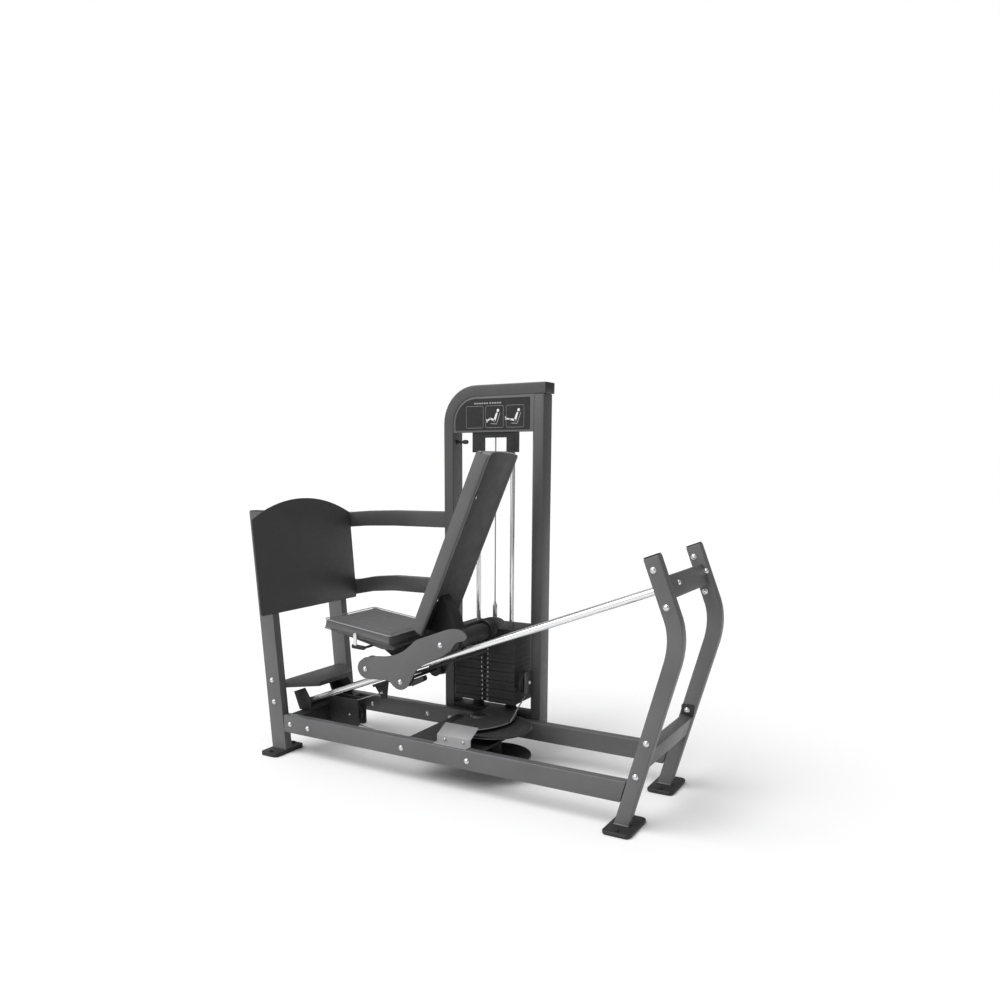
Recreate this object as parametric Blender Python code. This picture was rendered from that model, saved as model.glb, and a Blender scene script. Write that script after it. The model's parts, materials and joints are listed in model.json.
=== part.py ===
# Seated leg press with a weight-stack tower, built in metres with Z up.
# X runs from the foot plate to the rear legs, Y from the near side to the tower.
import math

import bmesh
import bpy
from mathutils import Matrix, Vector

# ---- driving dimensions ----------------------------------------------------
gap = 0.0003                       # clearance left between touching pieces
tubeWide = 0.040                   # frame tube, narrow side
tubeDeep = 0.080                   # frame tube, wide side
tubeCorner = 0.005                 # rounding of the tube corners

railOuterY = 0.2524                # outer faces of the two floor rails
railInnerY = railOuterY - tubeWide
railLow = 0.098
railHigh = railLow + tubeDeep
railFrontX = -0.7755

footThick = 0.016
footHalfY = 0.093
footMiddleY = 0.2305

uprightBackX = -0.848              # outer edge of the front uprights at the floor
uprightLean = 0.0777               # metres of lean per metre of height
uprightTop = 1.070

legFootX = 0.774                   # front edge of the rear legs at the floor
legLowerLean = math.radians(14.9)
railAngle = math.radians(21.15)    # slope of the guide tubes
legBendZ = 0.695
legDeep = 0.056                    # the rear legs are a slimmer tube
legTopX = 0.856
legTopZ = 0.960

guideRise = 0.504                  # height of the guide tubes above x = 0
guideRadius = 0.0133
guideY = 0.120
guideStart = -0.830
guideEnd = 0.9640

plateInnerY = 0.155                # carriage side plates
plateThick = 0.008

boardHalfY = 0.327
boardLow = 0.627
boardCorner = 1.040
boardArc = 0.708
boardFaceX = -0.7615               # front face of the foot plate carried down to the floor
boardThick = 0.006

towerLeftX = -0.248
towerLeftInX = -0.200
towerRightInX = 0.189
towerRightX = 0.2357
towerTop = 1.600
towerNearY = railOuterY + gap
towerFarY = 0.332
towerMiddleX = -0.006
towerBend = 0.158
rodSpread = 0.083                  # stack guide rods either side of the middle
rodY = 0.285
rodRadius = 0.0100

stackLow = 0.2450
platePitch = 0.0203
plateHalfX = 0.149
plateNearY = 0.190
plateFarY = 0.375
liftedPlates = 5
restingPairs = 5

camX = 0.050
camY = 0.050
drumX = 0.165
drumY = 0.000
wheelR = 0.0450                    # cable wheels
cableR = 0.0030
cableReach = wheelR + cableR + 0.0007   # wheel centre to cable centre
upperWheelR = 0.0393               # the two tower-top wheels sit side by side
upperReach = upperWheelR + cableR + 0.0007

shiftX = -0.0361                   # brings the middle of the footprint to the origin
shiftY = -0.0240

along = Vector((math.cos(railAngle), 0.0, math.sin(railAngle)))
across = Vector((-math.sin(railAngle), 0.0, math.cos(railAngle)))
axisX = Vector((1.0, 0.0, 0.0))
axisY = Vector((0.0, 1.0, 0.0))
axisZ = Vector((0.0, 0.0, 1.0))


# ---- scene and materials ---------------------------------------------------
def clearScene():
    for item in list(bpy.data.objects):
        bpy.data.objects.remove(item, do_unlink=True)


def newCollection(name):
    made = bpy.data.collections.new(name)
    bpy.context.scene.collection.children.link(made)
    return made


clearScene()
partsBox = newCollection("leg_press_machine")
cuttersBox = newCollection("cutters")

looks = {
    "frame": ((0.085, 0.085, 0.088), 0.45, 0.55),
    "black": ((0.018, 0.018, 0.019), 0.55, 0.30),
    "sheet": ((0.060, 0.060, 0.062), 0.50, 0.40),
    "chrome": ((0.80, 0.80, 0.82), 0.12, 1.00),
    "steel": ((0.45, 0.45, 0.46), 0.35, 1.00),
    "iron": ((0.030, 0.030, 0.032), 0.60, 0.20),
    "pad": ((0.045, 0.045, 0.047), 0.60, 0.00),
    "shell": ((0.080, 0.080, 0.083), 0.50, 0.00),
    "rubber": ((0.020, 0.020, 0.020), 0.85, 0.00),
}


def paint(piece, look):
    color, roughness, metallic = looks[look]
    material = bpy.data.materials.new(piece.name + "_finish")
    material.use_nodes = True
    shader = material.node_tree.nodes["Principled BSDF"]
    shader.inputs["Base Color"].default_value = (*color, 1.0)
    shader.inputs["Roughness"].default_value = roughness
    shader.inputs["Metallic"].default_value = metallic
    piece.data.materials.append(material)


bodyPlaces = {}


def addEmpty(name, place, parent=None):
    empty = bpy.data.objects.new(name, None)
    empty.empty_display_size = 0.05
    partsBox.objects.link(empty)
    bodyPlaces[name] = Vector(place)
    empty.location = place if parent is None else Vector(place) - bodyPlaces[parent.name]
    empty.parent = parent
    return empty


# ---- solid makers ----------------------------------------------------------
def solidFrom(name, mesh, look, body, place):
    bmesh.ops.recalc_face_normals(mesh, faces=mesh.faces)
    place = Vector(place)
    bmesh.ops.translate(mesh, verts=mesh.verts, vec=-place)
    data = bpy.data.meshes.new(name)
    mesh.to_mesh(data)
    mesh.free()
    piece = bpy.data.objects.new(name, data)
    if body is None:
        cuttersBox.objects.link(piece)
        piece.hide_render = True
        piece.display_type = "WIRE"
        piece.location = place + Vector((shiftX, shiftY, 0.0))
    else:
        partsBox.objects.link(piece)
        piece.parent = body
        piece.location = place - bodyPlaces[body.name]
        paint(piece, look)
    return piece


def rings(mesh, loops):
    rows = [[mesh.verts.new(point) for point in loop] for loop in loops]
    count = len(rows[0])
    for low, high in zip(rows, rows[1:]):
        for i in range(count):
            j = (i + 1) % count
            mesh.faces.new((low[i], low[j], high[j], high[i]))
    mesh.faces.new(list(reversed(rows[0])))
    mesh.faces.new(rows[-1])


def loft(name, loops, look, body, place=(0.0, 0.0, 0.0)):
    mesh = bmesh.new()
    rings(mesh, loops)
    return solidFrom(name, mesh, look, body, place)


def prism(name, outline, base, u, v, depth, look, body, place=(0.0, 0.0, 0.0)):
    """Outline in the (u, v) plane through base, pushed along u x v by depth."""
    push = u.cross(v) * depth
    base = Vector(base)
    low = [base + u * a + v * b for a, b in outline]
    high = [point + push for point in low]
    return loft(name, [low, high], look, body, place)


def sidePrism(name, outline, nearY, farY, look, body, place=(0.0, 0.0, 0.0)):
    return prism(name, outline, (0.0, farY, 0.0), axisX, axisZ, farY - nearY, look, body, place)


def planPrism(name, outline, low, high, look, body, place=(0.0, 0.0, 0.0)):
    return prism(name, outline, (0.0, 0.0, low), axisX, axisY, high - low, look, body, place)


def cylinder(name, start, end, radius, look, body, place=(0.0, 0.0, 0.0), sides=24):
    start = Vector(start)
    end = Vector(end)
    turn = (end - start).to_track_quat("Z", "Y")
    ring = [turn @ Vector((radius * math.cos(a), radius * math.sin(a), 0.0)) for a in steps(sides)]
    return loft(name, [[start + r for r in ring], [end + r for r in ring]], look, body, place)


def steps(count):
    return [2.0 * math.pi * i / count for i in range(count)]


def turned(name, profile, centre, axis, look, body, sides=32):
    """Profile of (radius, height) pairs turned about an axis, closed by flat ends."""
    turn = axis.to_track_quat("Z", "Y")
    centre = Vector(centre)
    loops = []
    for radius, height in profile:
        loop = [Vector((radius * math.cos(a), radius * math.sin(a), height)) for a in steps(sides)]
        loops.append([centre + turn @ point for point in loop])
    return loft(name, loops, look, body, centre)


def swept(name, path, radius, look, body, sides=8):
    points = [Vector(point) for point in path]
    loops = []
    side = None
    for i, point in enumerate(points):
        before = points[max(i - 1, 0)]
        after = points[min(i + 1, len(points) - 1)]
        heading = (after - before).normalized()
        if side is None:
            side = heading.orthogonal().normalized()
        side = (side - heading * side.dot(heading)).normalized()
        other = heading.cross(side)
        loops.append([point + (side * math.cos(a) + other * math.sin(a)) * radius for a in steps(sides)])
    return loft(name, loops, look, body)


def arc(centre, u, v, radius, start, end, count):
    centre = Vector(centre)
    found = []
    for i in range(count + 1):
        a = math.radians(start + (end - start) * i / count)
        found.append(centre + (u * math.cos(a) + v * math.sin(a)) * radius)
    return found


def roundCorners(points, radius, count=3):
    """Replaces each corner of a flat outline by a short arc-like run of points."""
    found = []
    total = len(points)
    for i, corner in enumerate(points):
        corner = Vector(corner)
        before = Vector(points[i - 1])
        after = Vector(points[(i + 1) % total])
        reach = min(radius, (before - corner).length * 0.45, (after - corner).length * 0.45)
        first = corner + (before - corner).normalized() * reach
        last = corner + (after - corner).normalized() * reach
        for k in range(count + 1):
            f = k / count
            found.append(first.lerp(corner, f).lerp(corner.lerp(last, f), f))
    return [tuple(point) for point in found]


def cut(piece, cutters):
    for cutter in cutters:
        modifier = piece.modifiers.new("cut_" + cutter.name, "BOOLEAN")
        modifier.operation = "DIFFERENCE"
        modifier.solver = "EXACT"
        modifier.object = cutter


def join(piece, others):
    for other in others:
        modifier = piece.modifiers.new("join_" + other.name, "BOOLEAN")
        modifier.operation = "UNION"
        modifier.solver = "EXACT"
        modifier.object = other


def boxOutline(lowA, highA, lowB, highB):
    return [(lowA, lowB), (highA, lowB), (highA, highB), (lowA, highB)]


def onRail(t, s, y=0.0):
    """World point at t along and s above the guide tube line."""
    return Vector((0.0, y, guideRise)) + along * t + across * s


# ---- bodies ----------------------------------------------------------------
machine = addEmpty("machine_origin", (0.0, 0.0, 0.0))
machine.location = (shiftX, shiftY, 0.0)
frameBody = machine
trolleyBody = addEmpty("trolley_body", onRail(-0.45, -0.025), machine)
carriageBody = addEmpty("carriage_body", onRail(-0.20, 0.05), trolleyBody)
stackBody = addEmpty("stack_body", (towerMiddleX, rodY, stackLow), machine)


# ---- frame -----------------------------------------------------------------
def floorRails():
    for name, side in (("near_floor_rail", -1), ("far_floor_rail", 1)):
        low, high = sorted((side * railInnerY, side * railOuterY))
        outline = roundCorners(boxOutline(low, high, railLow, railHigh), tubeCorner, 2)
        front = [Vector((railFrontX, y, z)) for y, z in outline]
        rear = [Vector((legFrontX(z) - 2.0 * gap, y, z)) for y, z in outline]
        loft(name, [front, rear], "frame", frameBody)


def legFrontX(z):
    """Front edge of a rear leg at height z, below its bend."""
    return legFootX + z * math.tan(legLowerLean)


def footPad(name, midX, midY, halfX=0.046):
    outline = roundCorners(boxOutline(midX - halfX, midX + halfX, midY - footHalfY, midY + footHalfY), 0.02, 4)
    return planPrism(name, outline, 0.0, footThick, "black", None)


def frontUprights():
    def edge(z):
        return uprightBackX - uprightLean * z
    low = footThick / 2
    outline = [
        (edge(low), low),
        (edge(low) + tubeDeep, low),
        (edge(uprightTop) + tubeDeep, uprightTop),
        (edge(uprightTop), uprightTop),
    ]
    for name, side in (("near_front_upright", -1), ("far_front_upright", 1)):
        near, far = sorted((side * railInnerY, side * railOuterY))
        upright = sidePrism(name, outline, near, far, "frame", frameBody)
        join(upright, [footPad(name + "_foot", -0.8110, side * footMiddleY)])


def legCentre(count=6):
    """Middle line of a rear leg from foot to top with a rounded bend."""
    lower = Vector((math.sin(legLowerLean), math.cos(legLowerLean)))
    upper = Vector((-math.sin(railAngle), math.cos(railAngle)))
    lowerSide = Vector((lower.y, -lower.x)) * (legDeep / 2)
    upperSide = Vector((upper.y, -upper.x)) * (legDeep / 2)
    top = Vector((legTopX, legTopZ))
    foot = Vector((legFootX, 0.0))
    bend = foot + lower * (legBendZ / lower.y)
    points = [foot + lowerSide + lower * ((footThick + 0.0130) / lower.y)]
    before = bend + lowerSide - lower * 0.075
    after = bend + upperSide + upper * 0.060
    middle = bend + (lowerSide + upperSide) / 2
    for i in range(count + 1):
        f = i / count
        points.append(before.lerp(middle, f).lerp(middle.lerp(after, f), f))
    points.append(top + upperSide)
    return points


def rearLegs():
    centre = legCentre()
    left = []
    right = []
    for i, point in enumerate(centre):
        heading = (centre[min(i + 1, len(centre) - 1)] - centre[max(i - 1, 0)]).normalized()
        side = Vector((heading.y, -heading.x)) * (legDeep / 2)
        left.append(point - side)
        right.append(point + side)
    left[0] = Vector((left[0].x - 0.0035, footThick / 2))
    right[0] = Vector((right[0].x - 0.0035, footThick / 2))
    outline = [tuple(p) for p in right] + [tuple(p) for p in reversed(left)]
    outline = list(reversed(outline))
    for name, side in (("near_rear_leg", -1), ("far_rear_leg", 1)):
        near, far = sorted((side * railInnerY, side * railOuterY))
        leg = sidePrism(name, outline, near, far, "frame", frameBody)
        join(leg, [footPad(name + "_foot", 0.8130, side * footMiddleY, 0.052)])


def tiltedBar(name, centre, tilt, width, height, halfY, look="frame"):
    """Cross tube along Y whose section is turned in the X-Z plane."""
    turn = Matrix.Rotation(tilt, 2)
    corners = roundCorners(boxOutline(-width / 2, width / 2, -height / 2, height / 2), tubeCorner, 2)
    outline = [tuple(turn @ Vector(corner) + Vector(centre)) for corner in corners]
    return sidePrism(name, outline, -halfY, halfY, look, frameBody)


def crossMembers():
    half = railInnerY - gap
    tiltedBar("rear_top_crossmember", (0.9184, 0.8597), railAngle, tubeWide, tubeDeep, half)
    tiltedBar("rear_lower_crossmember", (0.8800, 0.2730), -legLowerLean, tubeWide, tubeDeep, half)
    tiltedBar("front_crossmember", (-0.7350, 0.1380), 0.0, 0.060, tubeDeep, half, "black")


def footBoard():
    lean = math.atan(uprightLean)
    up = Vector((-math.sin(lean), 0.0, math.cos(lean)))
    out = Vector((math.cos(lean), 0.0, math.sin(lean)))
    scale = 1.0 / math.cos(lean)
    top = boardCorner * scale
    low = boardLow * scale
    middle = top - math.sqrt(boardArc ** 2 - boardHalfY ** 2)
    span = math.asin(boardHalfY / boardArc)
    outline = [(-boardHalfY + 0.008, low), (boardHalfY - 0.008, low), (boardHalfY, low + 0.012)]
    for i in range(19):
        a = span - 2.0 * span * i / 18
        outline.append((boardArc * math.sin(a), middle + boardArc * math.cos(a)))
    outline.append((-boardHalfY, low + 0.012))
    base = Vector((boardFaceX, 0.0, 0.0)) - out * boardThick
    prism("foot_plate", outline, base, axisY, up, boardThick, "sheet", frameBody)


def stepPlate():
    half = railInnerY - gap
    top = 0.3100
    sheet = 0.004
    lip = 0.020

    def corners(front, rear, side, nose):
        return [(front, -side), (rear - 0.110, -side), (rear, -nose), (rear, nose), (rear - 0.110, side), (front, side)]
    outline = corners(-0.8440, -0.6800, half, 0.1150)
    planPrism("step_plate", outline, top - lip, top, "sheet", frameBody)
    inner = corners(-0.8540, -0.6800 - sheet, half - sheet, 0.1130)
    hollow = planPrism("step_hollow", inner, top - lip - 0.01, top - sheet, "sheet", None)
    cut(bpy.data.objects["step_plate"], [hollow])


def sideBars():
    """Bent bars from the far upright, round the foot plate's edge, to the tower."""
    runs = {
        "upper_side_bar": (-0.9300, [(-0.850, 1.0040), (-0.750, 1.0125), (-0.550, 1.0215), (-0.248, 1.0240)]),
        "lower_side_bar": (-0.9080, [(-0.820, 0.6745), (-0.700, 0.6990), (-0.550, 0.7140), (-0.248, 0.7180)]),
    }
    middle = railOuterY + gap + tubeWide / 2
    for name, (start, heights) in runs.items():
        corners = [
            (start, middle), (start + 0.025, middle), (start + 0.065, 0.355), (-0.740, 0.354),
            (-0.600, 0.334), (towerLeftX - gap, 0.3118),
        ]
        path = roundPath(corners, 0.030)
        loops = []
        for i, point in enumerate(path):
            side = mitre(path, i)
            z = heightAt(heights, point.x)
            half = tubeWide / 2
            section = roundCorners(boxOutline(-half, half, z - 0.036, z + 0.036), tubeCorner, 2)
            loops.append([Vector((*(point + side * a), height)) for a, height in section])
        loops[0] = [Vector((start, p.y, p.z)) for p in loops[0]]
        loops[-1] = [Vector((towerLeftX - gap, p.y, p.z)) for p in loops[-1]]
        loft(name, loops, "frame", frameBody)


def roundPath(corners, reach, count=4):
    points = [Vector(corner) for corner in corners]
    path = [points[0]]
    for before, corner, after in zip(points, points[1:], points[2:]):
        first = corner + (before - corner).normalized() * min(reach, (before - corner).length * 0.45)
        last = corner + (after - corner).normalized() * min(reach, (after - corner).length * 0.45)
        for i in range(count + 1):
            f = i / count
            path.append(first.lerp(corner, f).lerp(corner.lerp(last, f), f))
    return path + [points[-1]]


def mitre(path, i):
    before = (path[i] - path[max(i - 1, 0)]).normalized()
    after = (path[min(i + 1, len(path) - 1)] - path[i]).normalized()
    heading = (before + after).normalized()
    side = Vector((-heading.y, heading.x))
    reference = after if after.length > 0.0 else before
    return side / max(heading.dot(reference), 0.5)


def heightAt(heights, x):
    for (x0, z0), (x1, z1) in zip(heights, heights[1:]):
        if x <= x1:
            f = max((x - x0) / (x1 - x0), 0.0)
            return z0 + (z1 - z0) * f
    return heights[-1][1]


def guideTubes():
    for name, side in (("near_guide_tube", -1), ("far_guide_tube", 1)):
        start = onRail(guideStart, 0.0, side * guideY)
        end = onRail(guideEnd, 0.0, side * guideY)
        cylinder(name, start, end, guideRadius, "chrome", frameBody)


def guideTubeMount():
    """Two brackets on one base strip, welded on top of the front cross tube."""
    half = 0.150
    web = 0.010
    wall = 0.006
    floor = railHigh + gap
    frontT = guideStart - web
    rearT = guideStart - gap
    outline = [
        alongAt(frontT, floor), (-0.7060, floor), tuple(onRail(guideStart + 0.072, 0.0).xz),
        tuple(onRail(guideStart + 0.060, 0.060).xz), tuple(onRail(frontT, 0.060).xz),
    ]
    piece = sidePrism("guide_tube_mount", outline, -half, half, "black", frameBody)
    inner = [alongAt(rearT, floor + 0.005), (-0.6000, floor + 0.005), (-0.6000, 0.4000), alongAt(rearT, 0.4000)]
    hollow = sidePrism("mount_hollow", inner, -half + wall, half - wall, "black", None)
    opening = boxOutline(-0.8800, -0.6500, railHigh + 0.030, 0.4200)
    between = sidePrism("mount_opening", opening, -0.088, 0.088, "black", None)
    cut(piece, [hollow, between])


def alongAt(t, z):
    """Point of the plane across the guide tubes at t, at height z."""
    s = (z - guideRise - along.z * t) / across.z
    return tuple(onRail(t, s).xz)


# ---- tower -----------------------------------------------------------------
def towerFrame():
    outline = [(towerLeftX, railLow), (towerLeftInX, railLow)]
    barLow = towerTop - 0.047
    inner = towerBend - (towerLeftInX - towerLeftX)
    centre = Vector((towerLeftX + towerBend, towerTop - towerBend))
    for i in range(9):
        a = math.radians(180.0 - 90.0 * i / 8)
        outline.append((centre.x + inner * math.cos(a), centre.y + inner * math.sin(a)))
    outline.append((towerRightX + 0.006, barLow + 0.001))
    outline.append((towerRightX + 0.006, towerTop))
    for i in range(13):
        a = math.radians(90.0 + 90.0 * i / 12)
        outline.append((centre.x + towerBend * math.cos(a), centre.y + towerBend * math.sin(a)))
    sidePrism("tower_left_post", outline, towerNearY, towerFarY, "frame", frameBody)
    right = boxOutline(towerRightInX, towerRightX, towerNearY, towerFarY)
    right = roundCorners(right, tubeCorner, 2)
    post = planPrism("tower_right_post", right, railLow, barLow - gap, "frame", frameBody)
    outline = roundCorners(boxOutline(0.2000, 0.2600, 0.2950, 0.3950), 0.012, 3)
    tab = prism("lower_pulley_tab", outline, (0.1850, 0.0, 0.0), axisY, axisZ, 0.0080, "steel", None)
    join(post, [tab])


def placard():
    low = 1.404
    high = towerTop - 0.047 - gap
    inner = towerBend - (towerLeftInX - towerLeftX) - gap
    centre = Vector((towerLeftX + towerBend, towerTop - towerBend))
    outline = [(towerLeftInX + gap, low), (towerRightInX - gap, low), (towerRightInX - gap, high)]
    for i in range(9):
        a = math.radians(90.0 + 90.0 * i / 8)
        outline.append((centre.x + inner * math.cos(a), centre.y + inner * math.sin(a) - 0.0003))
    sidePrism("placard_panel", outline, 0.2550, 0.2580, "sheet", frameBody)


def pinHook():
    profile = [(0.006, 0.0003), (0.006, 0.030), (0.009, 0.034), (0.009, 0.052), (0.006, 0.056)]
    turned("pin_storage_hook", profile, (towerLeftInX, 0.285, 1.365), axisX, "black", frameBody, 16)


def rodX(side):
    return towerMiddleX + side * rodSpread


def stackSupport():
    outline = boxOutline(towerLeftInX + gap, towerRightInX - gap, towerNearY + 0.001, towerFarY)
    beam = planPrism("stack_base_beam", outline, 0.158, 0.198, "black", frameBody)
    bores = []
    for name, side in (("left_stack", -1), ("right_stack", 1)):
        profile = [(0.0215, 0.1900), (0.0215, 0.2350), (0.0185, stackLow - gap)]
        bumper = turned(name + "_bumper", profile, (rodX(side), rodY, 0.0), axisZ, "rubber", None, 20)
        join(beam, [bumper])
        low = (rodX(side), rodY, 0.1800)
        bores.append(cylinder(name + "_bore", low, (rodX(side), rodY, 0.2600), rodRadius + gap, "steel", None))
        low = (rodX(side), rodY, 0.1803)
        cylinder(name + "_rod", low, (rodX(side), rodY, 1.3197), rodRadius, "chrome", frameBody)
    cut(beam, bores)


def pulleyBeam():
    left = rodX(-1)
    right = rodX(1)
    block = 0.019
    low = 1.320
    band = 1.382
    strip = 1.4045
    stripTop = 1.4245
    outline = [
        (left - block, low), (left + block, low), (left + block, band), (right - block, band),
        (right - block, low), (right + block, low), (right + block, strip), (towerRightInX - gap, strip),
        (towerRightInX - gap, stripTop), (towerLeftInX + gap, stripTop), (towerLeftInX + gap, strip),
        (left - block, strip),
    ]
    beam = sidePrism("pulley_beam", outline, 0.2620, 0.3080, "black", frameBody)
    outline = boxOutline(-0.0550, 0.1850, 0.2624, 0.3076)
    bracket = planPrism("pulley_bracket", outline, strip, 1.4900, "black", None)
    join(beam, [bracket])
    inner = boxOutline(-0.0600, 0.1860, 0.2664, 0.3036)
    cutters = [planPrism("bracket_slot", inner, 1.4088, 1.5000, "black", None)]
    for i, x in enumerate((towerMiddleX, 0.174)):
        cutters.append(cylinder("beam_hole_%d" % i, (x, rodY, 1.36), (x, rodY, 1.43), 0.009, "steel", None, sides=16))
    cut(beam, cutters)


def upperPulleys():
    for name, x in (("left_upper_pulley", towerMiddleX + upperReach), ("right_upper_pulley", 0.174 - upperReach)):
        wheel(name, (x, rodY, 1.4600), axisY, 0.0184, upperWheelR)


def wheel(name, centre, axis, hubHalf, radius=wheelR, body=None, look="black"):
    """Grooved cable wheel with a hub, turned about the given axis."""
    rim = radius + 0.0055
    profile = [
        (0.010, -hubHalf), (0.010, -0.008), (rim - 0.008, -0.008), (rim, -0.007), (rim, -0.006),
        (radius, -0.002), (radius, 0.002), (rim, 0.006), (rim, 0.007), (rim - 0.008, 0.008),
        (0.010, 0.008), (0.010, hubHalf),
    ]
    return turned(name, profile, centre, axis, look, body or frameBody, 22)


def lowerPulley():
    profileCentre = (0.1740, rodY - cableReach, 0.3450)
    rim = wheelR + 0.0055
    profile = [
        (0.010, -0.0095), (rim - 0.006, -0.0085), (rim, -0.0070), (wheelR, -0.0020),
        (wheelR, 0.0020), (rim, 0.0070), (rim - 0.006, 0.0085), (0.010, 0.0107),
    ]
    turned("lower_pulley", profile, profileCentre, axisX, "black", frameBody, 22)


# ---- weight stack ----------------------------------------------------------
def plateOutline():
    left = towerMiddleX - plateHalfX
    right = towerMiddleX + plateHalfX
    notch = 0.022
    return [
        (left + 0.004, plateNearY), (towerMiddleX - notch, plateNearY),
        (towerMiddleX - notch + 0.004, plateNearY + 0.005), (towerMiddleX + notch - 0.004, plateNearY + 0.005),
        (towerMiddleX + notch, plateNearY), (right - 0.004, plateNearY), (right, plateNearY + 0.004),
        (right, plateFarY - 0.004), (right - 0.004, plateFarY), (left + 0.004, plateFarY),
        (left, plateFarY - 0.004), (left, plateNearY + 0.004),
    ]


def weightPlate(name, low, high, body, pinHeights, bores):
    plate = planPrism(name, plateOutline(), low, high, "iron", body)
    holes = list(bores)
    for i, z in enumerate(pinHeights):
        start = (towerMiddleX, plateNearY - 0.010, z)
        end = (towerMiddleX, rodY, z)
        holes.append(cylinder("%s_pin_hole_%d" % (name, i), start, end, 0.0052, "steel", None, sides=8))
    cut(plate, holes)
    return plate


def weightStack():
    bores = []
    for i, (x, radius) in enumerate(((rodX(-1), 0.0125), (rodX(1), 0.0125), (towerMiddleX, 0.0095))):
        bores.append(cylinder("stack_bore_%d" % i, (x, rodY, 0.20), (x, rodY, 0.70), radius, "steel", None, sides=12))
    total = liftedPlates + 2 * restingPairs
    top = stackLow + total * platePitch
    levels = [top - (i + 0.5) * platePitch for i in range(total)]
    for i in range(liftedPlates):
        low = top - (i + 1) * platePitch + gap
        weightPlate("weight_plate_%02d" % (i + 1), low, low + platePitch - gap, stackBody, [levels[i]], bores)
    for i in range(restingPairs):
        first = liftedPlates + 2 * i
        low = top - (first + 2) * platePitch + gap
        high = low + 2 * platePitch - gap
        if i == restingPairs - 1:
            low = low - gap
        heights = [levels[first], levels[first + 1]]
        plate = weightPlate("double_plate_%02d" % (i + 1), low, high, frameBody, heights, bores)
        groove = pairGroove("double_groove_%02d" % (i + 1), low + platePitch)
        cut(plate, [groove])
    topPlate(top, bores)
    selector(top, levels)


def pairGroove(name, z):
    left = towerMiddleX - plateHalfX
    right = towerMiddleX + plateHalfX
    outer = boxOutline(left - 0.02, right + 0.02, plateNearY - 0.02, plateFarY + 0.02)
    inner = boxOutline(left + 0.0015, right - 0.0015, plateNearY + 0.0065, plateFarY - 0.0015)
    mesh = bmesh.new()
    rows = []
    for outline in (outer, inner):
        for height in (z - 0.0008, z + 0.0008):
            rows.append([mesh.verts.new((x, y, height)) for x, y in outline])
    outerLow, outerHigh, innerLow, innerHigh = rows
    for i in range(4):
        j = (i + 1) % 4
        mesh.faces.new((outerLow[i], outerLow[j], outerHigh[j], outerHigh[i]))
        mesh.faces.new((innerHigh[i], innerHigh[j], innerLow[j], innerLow[i]))
        mesh.faces.new((outerHigh[i], outerHigh[j], innerHigh[j], innerHigh[i]))
        mesh.faces.new((innerLow[i], innerLow[j], outerLow[j], outerLow[i]))
    return solidFrom(name, mesh, "iron", None, (0.0, 0.0, 0.0))


def topPlate(top, bores):
    plate = planPrism("stack_top_plate", plateOutline(), top + gap, top + 0.0250, "iron", stackBody)
    cut(plate, bores)


def selector(top, levels):
    high = top + 0.0850
    profile = [
        (0.0080, stackLow + 0.004), (0.0080, top + 0.0253), (0.0150, top + 0.0253),
        (0.0150, top + 0.034), (0.0095, top + 0.036), (0.0095, high - 0.006), (0.0060, high),
    ]
    rod = turned("selector_rod", profile, (towerMiddleX, rodY, 0.0), axisZ, "steel", stackBody, 12)
    holes = []
    for i, z in enumerate(levels):
        start = (towerMiddleX, rodY - 0.020, z)
        end = (towerMiddleX, rodY + 0.020, z)
        holes.append(cylinder("selector_hole_%02d" % i, start, end, 0.0058, "steel", None, sides=6))
    cut(rod, holes)
    z = levels[liftedPlates - 1]
    profile = [
        (0.0030, -0.002), (0.0046, -0.006), (0.0046, -0.0955), (0.0130, -0.0960), (0.0130, -0.1060),
        (0.0100, -0.1075),
    ]
    profile = [(r, -h) for r, h in profile]
    pin = turned("selector_pin", profile, (towerMiddleX, rodY, z), -axisY, "black", stackBody, 16)
    pin.name = "selector_pin"


# ---- cam, drum and front pulley ---------------------------------------------
def camOutline():
    """Upper cam plate: one long arc closed by a straight left edge."""
    middle = Vector((-0.054, 0.068))
    radius = 0.2425
    left = 0.006
    low = -0.150
    high = 0.255
    first = math.asin((low - middle.y) / radius)
    last = math.asin((high - middle.y) / radius)
    points = []
    for i in range(25):
        a = first + (last - first) * i / 24
        points.append((middle.x + radius * math.cos(a), middle.y + radius * math.sin(a)))
    return points + [(left, high), (left, low)]


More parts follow.
